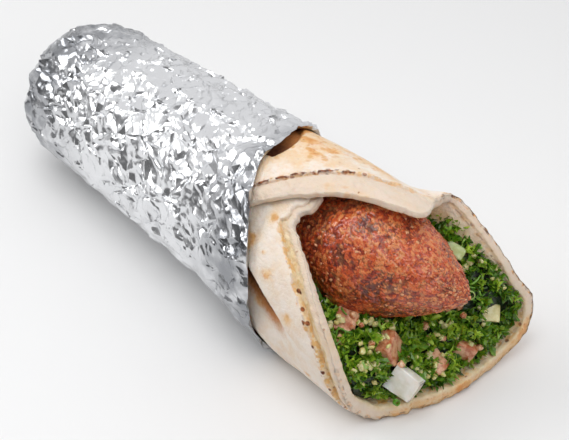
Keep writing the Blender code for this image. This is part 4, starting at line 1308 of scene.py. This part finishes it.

# %% [markdown]
# **Foil.** Bare aluminium: nearly all of its look is what it mirrors, so the mesh does the work.
# Fine scratches blur the mirror a little, more in some places than in others. Towards the torn
# edge and over the far end the base colour is darker in patches: a painted dark reflection.

# %% Foil finish
def foil_finish():
    finish = Finish("foil", Metallic=1.0)
    along = finish.node("ShaderNodeSeparateXYZ", None, {0: finish.places()})
    # Painted dark reflection: patches of darker base colour towards the torn edge and over the far end.
    dim_bands = finish.between(along, 0.012, 0.040) * 0.95 + finish.between(along, -0.045, -0.095) * 1.1
    painted_dark_mirror = dim_bands * finish.between(finish.grain(9.0, 3.0), 0.25, 0.6)
    finish.use(Base_Color=finish.mix(tint(231, 232, 234), tint(146, 148, 152), painted_dark_mirror))
    finish.use(Roughness=0.15 + finish.grain(6.0, 3.0) * 0.16)
    finish.bump(finish.grain(1.6, 3.0, 0.6, 0.6), 0.10, 0.5)
    return finish.material


foil.data.materials.append(foil_finish())

# %% [markdown]
# ** Kibbeh.** Each bit of the crust has its own tone, from dark brown to light orange; the top is
# made lighter as painted light, and the tip lighter too. The gaps between are painted nearly black
# as shade. The swollen bulgur in it is lighter and shines with frying oil.

# %% Crust finishes
def crust_finish(name, dark, low, middle, high, light, shift):
    finish = Finish(name, Coat_Weight=1.0, Coat_Roughness=0.17)
    level = (finish.mark("tone") * 0.85 + finish.grain(0.8, 4.0, 0.7) * 1.15
             + finish.grain(14.0, 3.0) * 0.3 + finish.grain(0.45, 2.0) * 0.5 - shift)
    colour = finish.ramp(level, (0.0, dark), (0.3, low), (0.55, middle), (0.8, high), (1.0, light))
    char = finish.between(finish.grain(9.0, 3.0, 0.6, 0.4), 0.5, 0.7) * 0.1
    colour = finish.mix(colour, tint(104, 44, 38), char)
    # Painted shade: the gaps between the grains go nearly black.
    colour = finish.mix(colour, tint(44, 12, 5), finish.mark("pit") * 0.8)
    finish.use(Base_Color=colour, Roughness=0.24 + finish.grain(2.0) * 0.22)
    finish.bump(finish.grain(0.55, 4.0, 0.7), 0.8, 1.0)
    return finish.material


kibbeh.data.materials.append(crust_finish("fried_crust", tint(80, 14, 3), tint(158, 46, 14),
                                          tint(222, 84, 32), tint(244, 112, 50), tint(253, 154, 90), 0.79))
crumbs.data.materials.append(crust_finish("fried_bulgur", tint(136, 46, 16), tint(190, 74, 30),
                                          tint(232, 110, 54), tint(248, 138, 76), tint(255, 190, 138), 0.74))

# %% [markdown]
# ** Salad.** Leaves run from dark to bright green by their tone, which for the parsley also holds
# painted light and shade, and are wet, so they shine. Bulgur is pale yellow, and the dice let a
# little light in.

# %% Salad finishes
def leaf_finish(name, dark, middle, bright, roughness, depth=0.12):
    finish = Finish(name, Roughness=roughness, Coat_Weight=0.4, Coat_Roughness=0.2, Subsurface_Weight=0.1,
                    Subsurface_Scale=0.002)
    level = finish.mark("tone") * 0.8 + finish.grain(1.5, 3.0) * 0.6 - 0.2
    finish.use(Base_Color=finish.ramp(level, (0.1, dark), (0.5, middle), (0.95, bright)))
    finish.bump(finish.grain(0.7 + depth, 2.0), depth, 0.8)
    return finish.material


def soft_finish(name, first, second, size, roughness, depth=0.08):
    finish = Finish(name, Roughness=roughness, Subsurface_Weight=0.4, Subsurface_Scale=0.004,
                    Coat_Weight=0.5, Coat_Roughness=0.12)
    finish.use(Subsurface_Radius=(1.0, 0.6, 0.4))
    cloud = finish.between(finish.grain(size, 3.0), 0.35, 0.68)
    finish.use(Base_Color=finish.mix(first, second, cloud))
    finish.bump(finish.grain(size * 0.4, 3.0), depth, 0.8)
    return finish.material


# Painted shade: the core has no tone, so it stays at the dark end of the greens, for the shaded depths
# between the tufts.
core.data.materials.append(leaf_finish("salad_core_painted_shade", tint(16, 40, 2), tint(50, 86, 8),
                                       tint(120, 146, 24), 0.5, 1.0))
parsley.data.materials.append(leaf_finish("parsley", tint(14, 44, 2), tint(78, 126, 14),
                                          tint(180, 210, 66), 0.42))
stalks.data.materials.append(leaf_finish("parsley_stalk", tint(70, 120, 30), tint(110, 160, 50),
                                         tint(160, 200, 90), 0.4))
rings.data.materials.append(leaf_finish("spring_onion", tint(60, 120, 24), tint(104, 160, 44),
                                        tint(190, 214, 130), 0.35))
bulgur.data.materials.append(soft_finish("bulgur", tint(236, 224, 158), tint(212, 192, 106), 1.6, 0.35))
DICE_FINISHES = {
    "tomato": soft_finish("tomato_flesh", tint(232, 180, 142), tint(182, 100, 62), 2.6, 0.2),
    "onion": soft_finish("onion_flesh", tint(242, 238, 232), tint(220, 214, 198), 5.0, 0.2),
    "juicy_onion": soft_finish("juicy_onion", tint(226, 214, 160), tint(200, 184, 112), 3.0, 0.25),
    "cucumber": soft_finish("cucumber_flesh", tint(206, 214, 160), tint(170, 190, 110), 3.5, 0.3),
}
dice["onion_2"] = (dice["onion_2"][0], "juicy_onion")
for piece, kind in [*dice.values(), (tomato_bits, "tomato"), (onion_bits, "juicy_onion")]:
    piece.data.materials.append(DICE_FINISHES[kind])
print("finishes:", len(bpy.data.materials))

# %% [markdown]
# ## Light
# Food looks its best under a big soft window overhead, on a white table that sends some of the
# light back up. Foil needs something dark to mirror too, or it turns into a grey fog: the room is
# bright above and behind, and dark on the side where the camera stands. The plain Standard view
# keeps white white.

# %% Floor
floor_bm = bmesh.new()
bmesh.ops.create_grid(floor_bm, x_segments=1, y_segments=1, size=3.0)
floor_mesh = bpy.data.meshes.new("floor")
floor_bm.to_mesh(floor_mesh)
floor_bm.free()
floor = bpy.data.objects.new("floor", floor_mesh)
bpy.context.scene.collection.objects.link(floor)
floor.data.materials.append(Finish("white_table", Base_Color=tint(237, 237, 237), Roughness=0.6).material)


# %% Lamps
def lamp(name, power, size, azimuth, elevation, distance=0.9):
    """A square soft lamp that looks at the wrap from a direction."""
    light = bpy.data.objects.new(name, bpy.data.lights.new(name, "AREA"))
    bpy.context.scene.collection.objects.link(light)
    light.data.energy = power
    light.data.size = size
    a, e = math.radians(azimuth), math.radians(elevation)
    away = Vector((math.sin(a) * math.cos(e), -math.cos(a) * math.cos(e), math.sin(e)))
    light.location = away * distance
    light.rotation_euler = away.to_track_quat("Z", "Y").to_euler()
    return light


lamp("overhead", 2.0, 0.45, 0, 78)
lamp("front", 2.2, 0.6, 80, 44)
lamp("left", 2.2, 0.4, -52, 38)

room = bpy.data.worlds.new("room")
bpy.context.scene.world = room
room.use_nodes = True
nodes = room.node_tree.nodes
direction = nodes.new("ShaderNodeTexCoord").outputs["Generated"]
toward = nodes.new("ShaderNodeVectorMath")
toward.operation = "DOT_PRODUCT"
toward.inputs[1].default_value = (-0.50, 0.45, 0.74)
room.node_tree.links.new(direction, toward.inputs[0])
shade = nodes.new("ShaderNodeValToRGB")
shade.color_ramp.elements.new(0.5)
for element, (position, level) in zip(shade.color_ramp.elements, ((0.0, 0.15), (0.4, 0.38), (0.8, 0.83))):
    element.position = position
    element.color = (level, level, level * 1.01, 1.0)
room.node_tree.links.new(toward.outputs["Value"], shade.inputs["Fac"])
room.node_tree.links.new(shade.outputs["Color"], nodes["Background"].inputs["Color"])
bpy.context.scene.view_settings.view_transform = "Standard"
